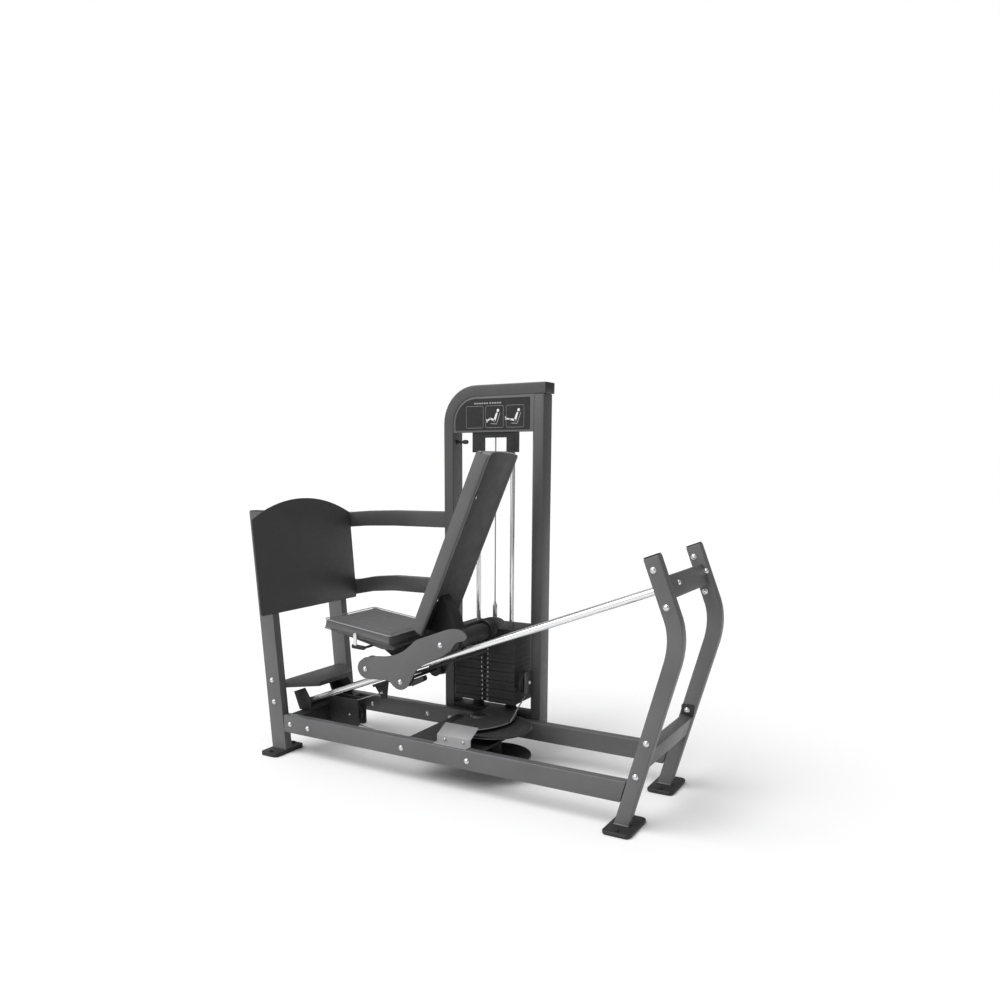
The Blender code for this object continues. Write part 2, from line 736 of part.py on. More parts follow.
def camGroup():
    half = railInnerY - gap
    planPrism("cam_carrier_plate", boxOutline(-0.160, 0.190, -half, half), 0.146, 0.156, "frame", frameBody)
    profile = [
        (0.030, 0.1563), (0.030, 0.2060), (0.040, 0.2060), (0.040, 0.2195), (0.034, 0.2300), (0.018, 0.2310),
    ]
    cam = turned("compound_cam", profile, (camX, camY, 0.0), axisZ, "sheet", frameBody, 28)
    plate = planPrism("cam_upper_plate", camOutline(), 0.2050, 0.2190, "sheet", None)
    disc = [(0.161, 0.1840), (0.165, 0.1850), (0.162, 0.1895), (0.162, 0.1925), (0.165, 0.1970), (0.161, 0.1980)]
    lower = turned("cam_lower_disc", disc, (camX + 0.070, camY - 0.010, 0.0), axisZ, "sheet", None, 44)
    web = planPrism("cam_web", boxOutline(0.010, 0.110, 0.000, 0.110), 0.1900, 0.2080, "sheet", None)
    join(cam, [plate, lower, web])
    profile = [
        (0.020, 0.1457), (0.020, 0.0945), (0.138, 0.0940), (0.142, 0.0930), (0.139, 0.0885), (0.139, 0.0855),
        (0.142, 0.0810), (0.138, 0.0800), (0.030, 0.0795), (0.022, 0.0720),
    ]
    profile = list(reversed(profile))
    turned("lower_drum", profile, (drumX, drumY, 0.0), axisZ, "black", frameBody, 36)
    sheet = 0.004
    outline = [
        (-railOuterY + 0.006, railHigh + gap), (-half, railHigh + gap), (-half, 0.2070),
        (-0.1500, 0.2385), (-0.1518, 0.2425), (-half - sheet, 0.2095), (-half - sheet, railHigh + gap + sheet),
        (-railOuterY + 0.006, railHigh + gap + sheet),
    ]
    prism("cam_guard", outline, (0.0120, 0.0, 0.0), axisY, axisZ, 0.1560, "frame", frameBody)


def frontPulleyGroup():
    outline = roundCorners(boxOutline(-0.7047, -0.5330, 0.1000, 0.2250), 0.015, 3)
    block = sidePrism("front_pulley_block", outline, -0.030, 0.030, "black", frameBody)
    slot = sidePrism("block_slot", boxOutline(-0.6800, -0.5200, 0.0900, 0.2400), -0.022, 0.022, "black", None)
    cut(block, [slot])
    profile = [
        (0.010, -0.0217), (0.010, -0.008), (0.046, -0.008), (0.0505, -0.006), (0.045, -0.002),
        (0.045, 0.002), (0.0505, 0.006), (0.046, 0.008), (0.010, 0.008), (0.010, 0.0217),
    ]
    turned("front_pulley", profile, frontPulleyCentre(), axisY, "black", frameBody, 22)


def frontPulleyCentre():
    return Vector((-0.5840, 0.0, 0.1530))


# ---- trolley and carriage ---------------------------------------------------
def railPrism(name, outline, nearY, farY, look, body, place):
    """Outline in rail coordinates (along, above) pushed across the machine."""
    world = [tuple(onRail(t, s).xz) for t, s in outline]
    return sidePrism(name, world, nearY, farY, look, body, place)


def trolleyBar():
    bar = boxOutline(-0.500, 0.106, -0.0325, -0.0210)
    tab = [(-0.500, -0.030), (-0.482, -0.095), (-0.462, -0.098), (-0.425, -0.030)]
    place = tuple(bodyPlaces[trolleyBody.name])
    piece = railPrism("trolley_bar", bar, -0.020, 0.020, "steel", trolleyBody, place)
    fin = railPrism("trolley_tab", tab, -0.0050, 0.0050, "steel", None, place)
    join(piece, [fin])
    holes = []
    for i in range(8):
        t = -0.190 + 0.036 * i
        start = onRail(t, -0.050)
        end = onRail(t, -0.005)
        holes.append(cylinder("bar_hole_%d" % i, start, end, 0.0075, "steel", None, sides=12))
    cut(piece, holes)


def sidePlateOutline():
    points = [
        (-0.430, 0.046), (-0.430, 0.074), (-0.407, 0.098), (-0.365, 0.101), (-0.318, 0.094), (-0.262, 0.078),
        (-0.210, 0.073), (-0.168, 0.077), (-0.128, 0.090), (-0.092, 0.104), (0.072, 0.104), (0.110, 0.096),
        (0.138, 0.078), (0.150, 0.052), (0.132, 0.040), (0.088, 0.044), (0.056, 0.020), (0.000, 0.007),
        (-0.095, 0.000), (-0.138, -0.014), (-0.174, -0.044), (-0.200, -0.066), (-0.234, -0.076),
        (-0.262, -0.066), (-0.278, -0.044), (-0.288, -0.022), (-0.318, -0.010), (-0.380, 0.008), (-0.415, 0.022),
    ]
    return list(reversed(roundCorners(points, 0.014, 2)))


def carriage():
    place = tuple(bodyPlaces[carriageBody.name])
    for name, side in (("near_side_plate", -1), ("far_side_plate", 1)):
        near, far = sorted((side * plateInnerY, side * (plateInnerY + plateThick)))
        railPrism(name, sidePlateOutline(), near, far, "frame", carriageBody, place)
    crossFrame(place)
    rollers()
    seat(place)
    backrest(place)
    lever()


def crossFrame(place):
    half = plateInnerY - gap
    web = 0.042
    outline = [
        (-0.325, -half), (-0.285, -half), (-0.285, -web), (-0.040, -web), (-0.040, -half), (0.010, -half),
        (0.010, half), (-0.040, half), (-0.040, web), (-0.285, web), (-0.285, half), (-0.325, half),
    ]
    base = Vector((0.0, 0.0, guideRise)) + across * 0.0350
    frame = prism("carriage_frame", outline, base, along, axisY, 0.0400, "black", carriageBody, place)
    join(frame, [seatBracket(), backrestPost()])


def rollers():
    sets = {
        "front_rollers": (-0.391, 0.056, 0.0425),
        "lower_rollers": (-0.236, -0.040, 0.0265),
        "rear_rollers": (0.066, 0.053, 0.0395),
    }
    for name, (t, s, radius) in sets.items():
        tread = radius - gap
        rim = tread + 0.0050
        end = plateInnerY - gap
        half = []
        for side in (-1, 1):
            wheelY = side * guideY
            marks = [wheelY - 0.021, wheelY - 0.0165, wheelY - 0.0035, wheelY + 0.0035, wheelY + 0.0165, wheelY + 0.021]
            half += [
                (0.0065, marks[0]), (rim, marks[0]), (rim, marks[1]), (tread, marks[2]),
                (tread, marks[3]), (rim, marks[4]), (rim, marks[5]), (0.0065, marks[5]),
            ]
        profile = [(0.0065, -end)] + half + [(0.0065, end)]
        centre = onRail(t, s)
        body = addEmpty(name + "_body", centre, carriageBody)
        turned(name, profile, centre, axisY, "black", body, 18)


def seat(place):
    front = Vector((-0.5900, 0.6190))
    rear = Vector((-0.2380, 0.5755))
    run = (rear - front).normalized()
    down = Vector((run.y, -run.x))
    thick = 0.045
    half = 0.180
    loops = []
    levels = ((0.0, 0.006), (0.003, 0.002), (0.008, 0.0), (0.040, 0.0), (thick, 0.002))
    for depth, inset in levels:
        outline = boxOutline(inset, (rear - front).length - inset, -half + inset, half - inset)
        corners = roundCorners(outline, 0.014, 4)
        loop = []
        for a, y in corners:
            point = front + run * a + down * depth
            loop.append(Vector((point.x, y, point.y)))
        loops.append(loop)
    loft("seat_pad", loops, "pad", carriageBody, place)

    def under(a, depth):
        point = front + run * a + down * depth
        return (point.x, point.y)
    depth = thick + gap
    outline = [
        under(0.010, depth), under(0.020, depth + 0.012), (-0.4640, 0.5400), (-0.3700, 0.5200), (-0.3060, 0.5070),
        (-0.2500, 0.5070), (-0.2350, 0.5150), under(0.350, depth),
    ]
    sidePrism("seat_shell", outline, -0.152, 0.152, "shell", carriageBody, place)


def seatBracket():
    low = onRail(-0.318, 0.0600).xz
    high = onRail(-0.120, 0.0600).xz
    outline = [
        (-0.4600, 0.5388), (-0.4450, 0.5200), tuple(low), tuple(high), (-0.1500, 0.5330), (-0.2000, 0.5280),
        (-0.2345, 0.5145), (-0.2498, 0.5065), (-0.3062, 0.5065), (-0.3702, 0.5195),
    ]
    return sidePrism("seat_bracket", outline, -0.040, 0.040, "black", None)


def backrestFrame():
    tilt = math.radians(23.5)
    up = Vector((math.sin(tilt), 0.0, math.cos(tilt)))
    back = Vector((math.cos(tilt), 0.0, -math.sin(tilt)))
    base = Vector((-0.1840, 0.0, 0.5980))
    return base, up, back


def backrest(place):
    base, up, back = backrestFrame()
    length = 0.8000
    half = 0.120
    padDeep = 0.030
    rounding = 0.012

    def slab(inset, depth):
        outline = boxOutline(-half + inset, half - inset, inset, length - inset)
        corners = roundCorners(outline, rounding, 4)
        return [base + axisY * a + up * b + back * depth for a, b in corners]
    loops = [slab(0.007, 0.0), slab(0.002, 0.003), slab(0.0, 0.008), slab(0.0, padDeep - 0.003), slab(0.001, padDeep)]
    loft("backrest_pad", loops, "pad", carriageBody, place)

    front = padDeep + gap
    deep = 0.0640
    dish = 0.2240
    rim = 0.108
    section = [(-half + 0.001, front), (half - 0.001, front), (half, front + 0.003), (half, deep - 0.005)]
    section += [(half - 0.003, deep), (rim + 0.001, deep)]
    for i in range(13):
        y = rim - 2.0 * rim * i / 12
        section.append((y, 0.0340 + dish - math.sqrt(dish ** 2 - y ** 2)))
    section += [(-rim - 0.001, deep), (-half + 0.003, deep), (-half, deep - 0.005), (-half, front + 0.003)]
    loops = []
    for b, inset in ((0.001, 0.009), (0.004, 0.004), (0.011, 0.0), (length - 0.011, 0.0), (length - 0.004, 0.004), (length - 0.001, 0.009)):
        narrow = (half - inset) / half
        loops.append([base + axisY * (y * narrow) + back * depth + up * b for y, depth in section])
    loft("backrest_shell", loops, "shell", carriageBody, place)


def backrestPost():
    base, up, back = backrestFrame()
    front = 0.0375
    topFront = base + up * 0.165 + back * front
    topBack = base + up * 0.150 + back * (front + 0.034)
    lowFront = base + up * 0.012 + back * front
    outline = [
        tuple(onRail(-0.116, 0.0600).xz), tuple(onRail(0.0080, 0.0600).xz), (0.0030, 0.5980), (-0.0130, 0.6180),
        (-0.0290, 0.6600), tuple(topBack.xz), tuple(topFront.xz), tuple(lowFront.xz),
    ]
    return sidePrism("backrest_post", outline, -0.032, 0.032, "frame", None)


def lever():
    pivot = Vector((-0.3780, -0.0403, 0.5100))
    body = addEmpty("lever_body", pivot, carriageBody)
    piece = turned("seat_release_lever", [(0.0055, 0.0), (0.0055, 0.1300)], pivot, -axisY, "black", body, 14)
    outline = roundCorners([(-0.4370, 0.5040), (-0.3720, 0.5020), (-0.3690, 0.5180), (-0.4360, 0.5220)], 0.006, 3)
    join(piece, [sidePrism("lever_grip", outline, -0.1740, -0.1640, "black", None)])


# ---- cables ------------------------------------------------------------------
def cables():
    reach = cableReach
    top = stackLow + (liftedPlates + 2 * restingPairs) * platePitch + 0.0850
    left = towerMiddleX
    right = 0.1740
    path = [Vector((left, rodY, top + gap)), Vector((left, rodY, 1.30))]
    path += arc((left + upperReach, rodY, 1.4600), axisX, axisZ, upperReach, 180.0, 90.0, 8)
    path += arc((right - upperReach, rodY, 1.4600), axisX, axisZ, upperReach, 90.0, 0.0, 8)
    path += arc((right, rodY - reach, 0.3450), axisY, axisZ, reach, 0.0, -66.0, 6)
    end = Vector((0.1936, 0.0620, 0.2125))
    path.append(end)
    swept("stack_cable", path, cableR, "steel", frameBody)
    centre = frontPulleyCentre()
    reach = cableReach + 0.0004
    slope = math.degrees(railAngle)
    contact = centre + across * reach
    path = [contact + along * 0.1800, contact]
    path += arc(centre, axisX, axisZ, reach, 90.0 + slope, 270.0, 12)[1:]
    path.append(Vector((drumX - 0.0283, drumY - 0.1428, 0.0870)))
    swept("press_cable", path, cableR, "steel", frameBody)


floorRails()
frontUprights()
rearLegs()
crossMembers()
footBoard()
stepPlate()
sideBars()
guideTubes()
guideTubeMount()
towerFrame()
placard()
pinHook()
stackSupport()
pulleyBeam()
upperPulleys()
lowerPulley()
weightStack()
camGroup()
frontPulleyGroup()
trolleyBar()
carriage()
cables()
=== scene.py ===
import json
import math

import bmesh
import bpy
from mathutils import Matrix, Vector


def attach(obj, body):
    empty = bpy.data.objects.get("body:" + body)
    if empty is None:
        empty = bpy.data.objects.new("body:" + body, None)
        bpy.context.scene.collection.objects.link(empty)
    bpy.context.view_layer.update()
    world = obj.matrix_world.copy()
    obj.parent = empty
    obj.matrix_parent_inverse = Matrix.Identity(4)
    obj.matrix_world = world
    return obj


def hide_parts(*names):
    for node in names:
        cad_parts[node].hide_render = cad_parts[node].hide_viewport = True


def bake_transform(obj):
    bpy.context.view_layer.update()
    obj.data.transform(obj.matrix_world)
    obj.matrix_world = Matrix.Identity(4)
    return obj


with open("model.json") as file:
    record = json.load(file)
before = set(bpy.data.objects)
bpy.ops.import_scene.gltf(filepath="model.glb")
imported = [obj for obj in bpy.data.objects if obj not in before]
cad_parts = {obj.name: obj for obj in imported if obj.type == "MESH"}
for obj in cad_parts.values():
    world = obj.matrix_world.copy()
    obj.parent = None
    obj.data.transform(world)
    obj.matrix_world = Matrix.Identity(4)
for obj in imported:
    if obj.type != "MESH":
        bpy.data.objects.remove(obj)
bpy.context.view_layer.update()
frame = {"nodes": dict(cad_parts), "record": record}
nodeBody = {n: b for b, names in frame["record"]["behaviour"]["bodies"].items() for n in names}
print("leg press: frame loaded")

# the machine's own drawing has its zero 36 mm and 24 mm away from the middle of its footprint
zeroX, zeroY = -0.0361, -0.0240
slope = math.radians(21.15)
along = Vector((math.cos(slope), 0, math.sin(slope)))
above = Vector((-math.sin(slope), 0, math.cos(slope)))


def at(x, y, z):
    return Vector((x + zeroX, y + zeroY, z))


def onRail(t, s, y=0.0):
    return at(0, y, 0.504) + along * t + above * s


# ---------------------------------------------------------------- materials
def newFinish(name, color, roughness, metallic=0.0):
    finish = bpy.data.materials.new(name)
    finish.use_nodes = True
    tree = finish.node_tree
    shader = tree.nodes["Principled BSDF"]
    shader.inputs["Base Color"].default_value = (*color, 1)
    shader.inputs["Roughness"].default_value = roughness
    shader.inputs["Metallic"].default_value = metallic
    coords = tree.nodes.new("ShaderNodeTexCoord")
    return finish, tree, shader, coords.outputs["Object"]


def noiseOf(tree, place, scale, detail=3.0, rough=0.55):
    noise = tree.nodes.new("ShaderNodeTexNoise")
    noise.inputs["Scale"].default_value = scale
    noise.inputs["Detail"].default_value = detail
    noise.inputs["Roughness"].default_value = rough
    tree.links.new(place, noise.inputs["Vector"])
    return noise.outputs["Fac"]


def rampOf(tree, value, stops):
    ramp = tree.nodes.new("ShaderNodeValToRGB")
    elements = ramp.color_ramp.elements
    while len(elements) < len(stops):
        elements.new(0.5)
    for element, (place, color) in zip(elements, stops):
        element.position = place
        element.color = (*color, 1)
    tree.links.new(value, ramp.inputs["Fac"])
    return ramp.outputs["Color"]


def rangeOf(tree, value, low, high):
    spread = tree.nodes.new("ShaderNodeMapRange")
    spread.inputs["From Min"].default_value = 0.3
    spread.inputs["From Max"].default_value = 0.7
    spread.inputs["To Min"].default_value = low
    spread.inputs["To Max"].default_value = high
    tree.links.new(value, spread.inputs["Value"])
    return spread.outputs["Result"]


def mixOf(tree, first, second, factor, blend="MIX"):
    mix = tree.nodes.new("ShaderNodeMixRGB")
    mix.blend_type = blend
    for socket, value in (("Fac", factor), ("Color1", first), ("Color2", second)):
        if isinstance(value, (float, int)):
            mix.inputs[socket].default_value = value
        elif isinstance(value, tuple):
            mix.inputs[socket].default_value = (*value, 1)
        else:
            tree.links.new(value, mix.inputs[socket])
    return mix.outputs["Color"]


def bumpOf(tree, shader, height, strength, distance):
    bump = tree.nodes.new("ShaderNodeBump")
    bump.inputs["Strength"].default_value = strength
    bump.inputs["Distance"].default_value = distance
    tree.links.new(height, bump.inputs["Height"])
    tree.links.new(bump.outputs["Normal"], shader.inputs["Normal"])
    return bump


def scaled(color, factor):
    return tuple(min(1.0, c * factor) for c in color)


powderCoat = {
    "dark grey coat": {"color": (0.112, 0.112, 0.115), "roughness": 0.43, "metallic": 0.25, "fleck": 0.35},
    # a darker copy of the dark grey coat, painted shade for parts that stand farther back from the light
    "far coat painted shade": {"color": (0.078, 0.078, 0.080), "roughness": 0.43, "metallic": 0.25, "fleck": 0.35},
    "guard coat": {"color": (0.270, 0.270, 0.275), "roughness": 0.45, "metallic": 0.20, "fleck": 0.15},
    "black coat": {"color": (0.016, 0.016, 0.017), "roughness": 0.60, "metallic": 0.0, "fleck": 0.15},
    "sheet coat": {"color": (0.052, 0.052, 0.054), "roughness": 0.50, "metallic": 0.10, "fleck": 0.25},
    "cam coat": {"color": (0.048, 0.048, 0.050), "roughness": 0.44, "metallic": 0.20, "fleck": 0.30},
    "plate black": {"color": (0.026, 0.026, 0.027), "roughness": 0.66, "metallic": 0.0, "fleck": 0.20},
}


def powderCoated(name):
    look = powderCoat[name]
    color = look["color"]
    finish, tree, shader, place = newFinish(name, color, look["roughness"], look["metallic"])
    cloud = noiseOf(tree, place, 5.0, 4.0)
    base = rampOf(tree, cloud, [(0.30, scaled(color, 0.90)), (0.70, scaled(color, 1.10))])
    fleck = noiseOf(tree, place, 1400.0, 1.0)
    bright = rampOf(tree, fleck, [(0.62, (0, 0, 0)), (0.74, (1, 1, 1))])
    flecked = mixOf(tree, base, scaled(color, 1.0 + 2.2 * look["fleck"]), bright)
    tree.links.new(flecked, shader.inputs["Base Color"])
    rub = noiseOf(tree, place, 38.0, 5.0)
    rough = rangeOf(tree, rub, look["roughness"] - 0.05, look["roughness"] + 0.07)
    tree.links.new(rough, shader.inputs["Roughness"])
    bumpOf(tree, shader, noiseOf(tree, place, 620.0, 2.0), 0.22, 0.0004)
    return finish


def polishedTube(name, color, roughness, streak):
    finish, tree, shader, place = newFinish(name, color, roughness, 0.80)
    cloud = noiseOf(tree, place, 14.0, 3.0)
    tone = rampOf(tree, cloud, [(0.25, scaled(color, 0.93)), (0.75, color)])
    # painted reflection: the colour is bright where the tube faces the view and darkens into grey bands towards its
    # grazing edges
    facing = tree.nodes.new("ShaderNodeLayerWeight")
    facing.inputs["Blend"].default_value = 0.5
    paintedReflectionBand = rampOf(tree, facing.outputs["Facing"], [
        (0.0, (1, 1, 1)), (0.45, (0.95, 0.95, 0.95)), (0.62, (0.42, 0.42, 0.43)), (0.85, (0.20, 0.20, 0.21)), (1.0, (0.40, 0.40, 0.41)),
    ])
    tree.links.new(mixOf(tree, tone, paintedReflectionBand, 1.0, "MULTIPLY"), shader.inputs["Base Color"])
    fine = noiseOf(tree, place, streak, 4.0)
    tree.links.new(rangeOf(tree, fine, roughness * 0.8, roughness * 1.5), shader.inputs["Roughness"])
    bumpOf(tree, shader, fine, 0.05, 0.0002)
    return finish


def platedSteel(name, color, roughness):
    finish, tree, shader, place = newFinish(name, color, roughness, 1.0)
    cells = tree.nodes.new("ShaderNodeTexVoronoi")
    cells.inputs["Scale"].default_value = 160.0
    tree.links.new(place, cells.inputs["Vector"])
    tone = mixOf(tree, scaled(color, 0.86), color, cells.outputs["Distance"])
    cloud = rampOf(tree, noiseOf(tree, place, 24.0), [(0.35, (0.86, 0.86, 0.86)), (0.7, (1, 1, 1))])
    tree.links.new(mixOf(tree, tone, cloud, 0.6, "MULTIPLY"), shader.inputs["Base Color"])
    grain = noiseOf(tree, place, 300.0, 3.0)
    tree.links.new(rangeOf(tree, grain, roughness - 0.06, roughness + 0.10), shader.inputs["Roughness"])
    bumpOf(tree, shader, grain, 0.10, 0.0003)
    return finish


def mouldedNylon(name, color, roughness, paintShadeByFacing=False):
    finish, tree, shader, place = newFinish(name, color, roughness)
    cloud = noiseOf(tree, place, 30.0, 3.0)
    tone = rampOf(tree, cloud, [(0.3, scaled(color, 0.85)), (0.7, scaled(color, 1.2))])
    if paintShadeByFacing:
        # painted shade and light: the hollow is darkened on faces turned towards the far side and brightened on faces
        # turned towards the near side
        facing = tree.nodes.new("ShaderNodeNewGeometry")
        parts = tree.nodes.new("ShaderNodeSeparateXYZ")
        tree.links.new(facing.outputs["Normal"], parts.inputs["Vector"])
        spread = tree.nodes.new("ShaderNodeMapRange")
        spread.inputs["From Min"].default_value = -0.35
        spread.inputs["From Max"].default_value = 0.30
        tree.links.new(parts.outputs["Y"], spread.inputs["Value"])
        dustAndPaintedShade = rampOf(tree, spread.outputs["Result"], [(0.0, (1.9, 1.9, 1.9)), (1.0, (0.30, 0.30, 0.30))])
        tone = mixOf(tree, tone, dustAndPaintedShade, 1.0, "MULTIPLY")
    tree.links.new(tone, shader.inputs["Base Color"])
    pebble = noiseOf(tree, place, 800.0, 2.0)
    tree.links.new(rangeOf(tree, noiseOf(tree, place, 60.0), roughness - 0.04, roughness + 0.08), shader.inputs["Roughness"])
    bumpOf(tree, shader, pebble, 0.18, 0.0004)
    return finish


def softRubber(name, color):
    finish, tree, shader, place = newFinish(name, color, 0.78)
    speck = noiseOf(tree, place, 220.0, 5.0)
    tree.links.new(rampOf(tree, speck, [(0.3, scaled(color, 0.75)), (0.75, scaled(color, 1.35))]), shader.inputs["Base Color"])
    tree.links.new(rangeOf(tree, noiseOf(tree, place, 25.0), 0.70, 0.88), shader.inputs["Roughness"])
    bumpOf(tree, shader, speck, 0.30, 0.0006)
    return finish


def seatVinyl(name, color, roughness):
    finish, tree, shader, place = newFinish(name, color, roughness)
    cells = tree.nodes.new("ShaderNodeTexVoronoi")
    cells.feature = "DISTANCE_TO_EDGE"
    cells.inputs["Scale"].default_value = 620.0
    tree.links.new(place, cells.inputs["Vector"])
    creases = rampOf(tree, cells.outputs["Distance"], [(0.0, (0, 0, 0)), (0.12, (1, 1, 1))])
    cloud = rampOf(tree, noiseOf(tree, place, 9.0, 4.0), [(0.3, scaled(color, 0.90)), (0.7, scaled(color, 1.08))])
    tree.links.new(mixOf(tree, scaled(color, 0.72), cloud, creases), shader.inputs["Base Color"])
    tree.links.new(rangeOf(tree, noiseOf(tree, place, 35.0, 4.0), roughness - 0.05, roughness + 0.08), shader.inputs["Roughness"])
    bumpOf(tree, shader, creases, 0.35, 0.0005)
    shader.inputs["Sheen Weight"].default_value = 0.12
    return finish


def wireRope(name, color):
    finish, tree, shader, place = newFinish(name, color, 0.38, 0.55)
    lay = tree.nodes.new("ShaderNodeTexWave")
    lay.wave_type = "BANDS"
    lay.bands_direction = "DIAGONAL"
    lay.inputs["Scale"].default_value = 90.0
    lay.inputs["Distortion"].default_value = 0.6
    tree.links.new(place, lay.inputs["Vector"])
    tree.links.new(rampOf(tree, lay.outputs["Fac"], [(0.2, scaled(color, 0.45)), (0.8, scaled(color, 1.3))]), shader.inputs["Base Color"])
    bumpOf(tree, shader, lay.outputs["Fac"], 0.5, 0.0008)
    shader.inputs["Coat Weight"].default_value = 0.4
    shader.inputs["Coat Roughness"].default_value = 0.2
    return finish


def printedInk(name, color, roughness):
    finish, tree, shader, place = newFinish(name, color, roughness)
    dustAndPaintedShade = noiseOf(tree, place, 260.0, 3.0)
    tree.links.new(rampOf(tree, dustAndPaintedShade, [(0.25, scaled(color, 0.88)), (0.6, color)]), shader.inputs["Base Color"])
    tree.links.new(rangeOf(tree, noiseOf(tree, place, 80.0), roughness - 0.05, roughness + 0.1), shader.inputs["Roughness"])
    bumpOf(tree, shader, dustAndPaintedShade, 0.05, 0.0002)
    return finish


greyCoat = powderCoated("dark grey coat")
blackCoat = powderCoated("black coat")
sheetCoat = powderCoated("sheet coat")
camCoat = powderCoated("cam coat")
plateBlack = powderCoated("plate black")
shadedFarCoat = powderCoated("far coat painted shade")
guardCoat = powderCoated("guard coat")
chrome = polishedTube("hard chrome", (0.86, 0.86, 0.87), 0.10, 240.0)
groundSteel = polishedTube("ground steel rod", (0.62, 0.62, 0.63), 0.20, 320.0)
zinc = platedSteel("zinc plate", (0.60, 0.60, 0.61), 0.32)
boltSteel = platedSteel("bolt steel", (0.80, 0.80, 0.81), 0.22)
nylon = mouldedNylon("black nylon", (0.018, 0.018, 0.019), 0.42)
gripRubber = softRubber("grip rubber", (0.016, 0.016, 0.016))
bumperRubber = softRubber("bumper rubber", (0.022, 0.021, 0.020))
shellPlastic = mouldedNylon("shell plastic", (0.060, 0.060, 0.062), 0.48)
# the hollow back plastic carries painted shade and light that follow which way its faces turn
hollowPlastic = mouldedNylon("hollow back plastic", (0.040, 0.040, 0.041), 0.62, True)
trimPlastic = mouldedNylon("trim plastic", (0.012, 0.012, 0.013), 0.40)
vinyl = seatVinyl("seat vinyl", (0.100, 0.100, 0.103), 0.46)
# paler vinyl for the upward-facing top end of the backrest: painted light from above
topLitPaleVinyl = seatVinyl("pale end vinyl painted light", (0.22, 0.22, 0.225), 0.42)
# paler vinyl for the seat's top bead: a painted highlight along its upper edge
highlightBeadVinyl = seatVinyl("bead vinyl painted highlight", (0.33, 0.33, 0.34), 0.40)
rope = wireRope("wire rope", (0.32, 0.32, 0.33))
fieldInk = printedInk("placard field", (0.010, 0.010, 0.011), 0.62)
lineInk = printedInk("placard line", (0.30, 0.30, 0.31), 0.40)
whiteInk = printedInk("placard white", (0.82, 0.82, 0.82), 0.45)
paleInk = printedInk("placard pale", (0.36, 0.36, 0.37), 0.45)
print("leg press: finishes made")


# ---------------------------------------------------------------- bench tools
def clearSelection():
    if bpy.context.object is not None and bpy.context.object.mode != "OBJECT":
        bpy.ops.object.mode_set(mode="OBJECT")
    bpy.ops.object.select_all(action="DESELECT")


def pick(piece):
    clearSelection()
    piece.select_set(True)
    bpy.context.view_layer.objects.active = piece


def openMesh():
    bpy.ops.object.mode_set(mode="EDIT")
    bpy.ops.mesh.select_all(action="SELECT")


def closeMesh():
    bpy.ops.object.mode_set(mode="OBJECT")


def softenEdges(piece, width, segments=2, angle=28):
    pick(piece)
    bevel = piece.modifiers.new("edge", "BEVEL")
    bevel.width = width
    bevel.segments = segments
    bevel.limit_method = "ANGLE"
    bevel.angle_limit = math.radians(angle)
    bevel.use_clamp_overlap = True
    bpy.ops.object.modifier_apply(modifier="edge")


def finishPiece(piece, name, material, body, smooth=32):
    piece.name = name
    piece.data.name = name
    pick(piece)
    bpy.ops.object.transform_apply(location=True, rotation=True, scale=True)
    bpy.ops.object.shade_smooth_by_angle(angle=math.radians(smooth))
    piece.data.materials.clear()
    piece.data.materials.append(material)
    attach(piece, body)
    return piece


def ringShape(profile, centre, axis, steps=48):
    """closed profile of (radius, height) spun about the axis"""
    clearSelection()
    bpy.ops.mesh.primitive_circle_add(vertices=len(profile), radius=1, fill_type="NOTHING")
    piece = bpy.context.object
    turn = Vector(axis).to_track_quat("Z", "Y")
    centre = Vector(centre)
    for vertex, (radius, height) in zip(piece.data.vertices, profile):
        vertex.co = centre + turn @ Vector((radius, 0, height))
    openMesh()
    bpy.ops.mesh.spin(steps=steps, angle=math.tau, center=centre, axis=turn @ Vector((0, 0, 1)))
    bpy.ops.mesh.select_all(action="SELECT")
    bpy.ops.mesh.remove_doubles(threshold=0.00001)
    bpy.ops.mesh.normals_make_consistent(inside=False)
    closeMesh()
    return piece


def sheetShape(corners, push):
    """flat outline pushed out into a plate"""
    clearSelection()
    bpy.ops.mesh.primitive_circle_add(vertices=len(corners), radius=1, fill_type="NGON")
    piece = bpy.context.object
    for vertex, corner in zip(piece.data.vertices, corners):
        vertex.co = corner
    openMesh()
    bpy.ops.mesh.extrude_region_move(TRANSFORM_OT_translate={"value": push})
    bpy.ops.mesh.select_all(action="SELECT")
    bpy.ops.mesh.normals_make_consistent(inside=False)
    closeMesh()
    return piece


def barShape(start, end, radius, sides=32, edge=0.0):
    start, end = Vector(start), Vector(end)
    clearSelection()
    bpy.ops.mesh.primitive_cylinder_add(vertices=sides, radius=radius, depth=(end - start).length)
    piece = bpy.context.object
    turn = (end - start).to_track_quat("Z", "Y")
    piece.data.transform(Matrix.Translation((start + end) / 2) @ turn.to_matrix().to_4x4())
    if edge:
        softenEdges(piece, edge, 2, 50)
    return piece


def joined(pieces):
    clearSelection()
    for piece in pieces:
        piece.select_set(True)
    bpy.context.view_layer.objects.active = pieces[0]
    bpy.ops.object.join()
    return bpy.context.object


def placedCopy(master, turn, place):
    copy = bpy.data.objects.new(master.name, master.data.copy())
    bpy.context.scene.collection.objects.link(copy)
    copy.data.transform(Matrix.Translation(place) @ turn.to_matrix().to_4x4())
    return copy


def roundLoop(centre, sideA, sideB, halfA, halfB, corner, count=6):
    points = []
    for a, b, start in ((1, 1, 0), (-1, 1, 90), (-1, -1, 180), (1, -1, 270)):
        for k in range(count + 1):
            turn = math.radians(start + 90 * k / count)
            x = a * (halfA - corner) + corner * math.cos(turn)
            y = b * (halfB - corner) + corner * math.sin(turn)
            points.append(centre + sideA * x + sideB * y)
    return points


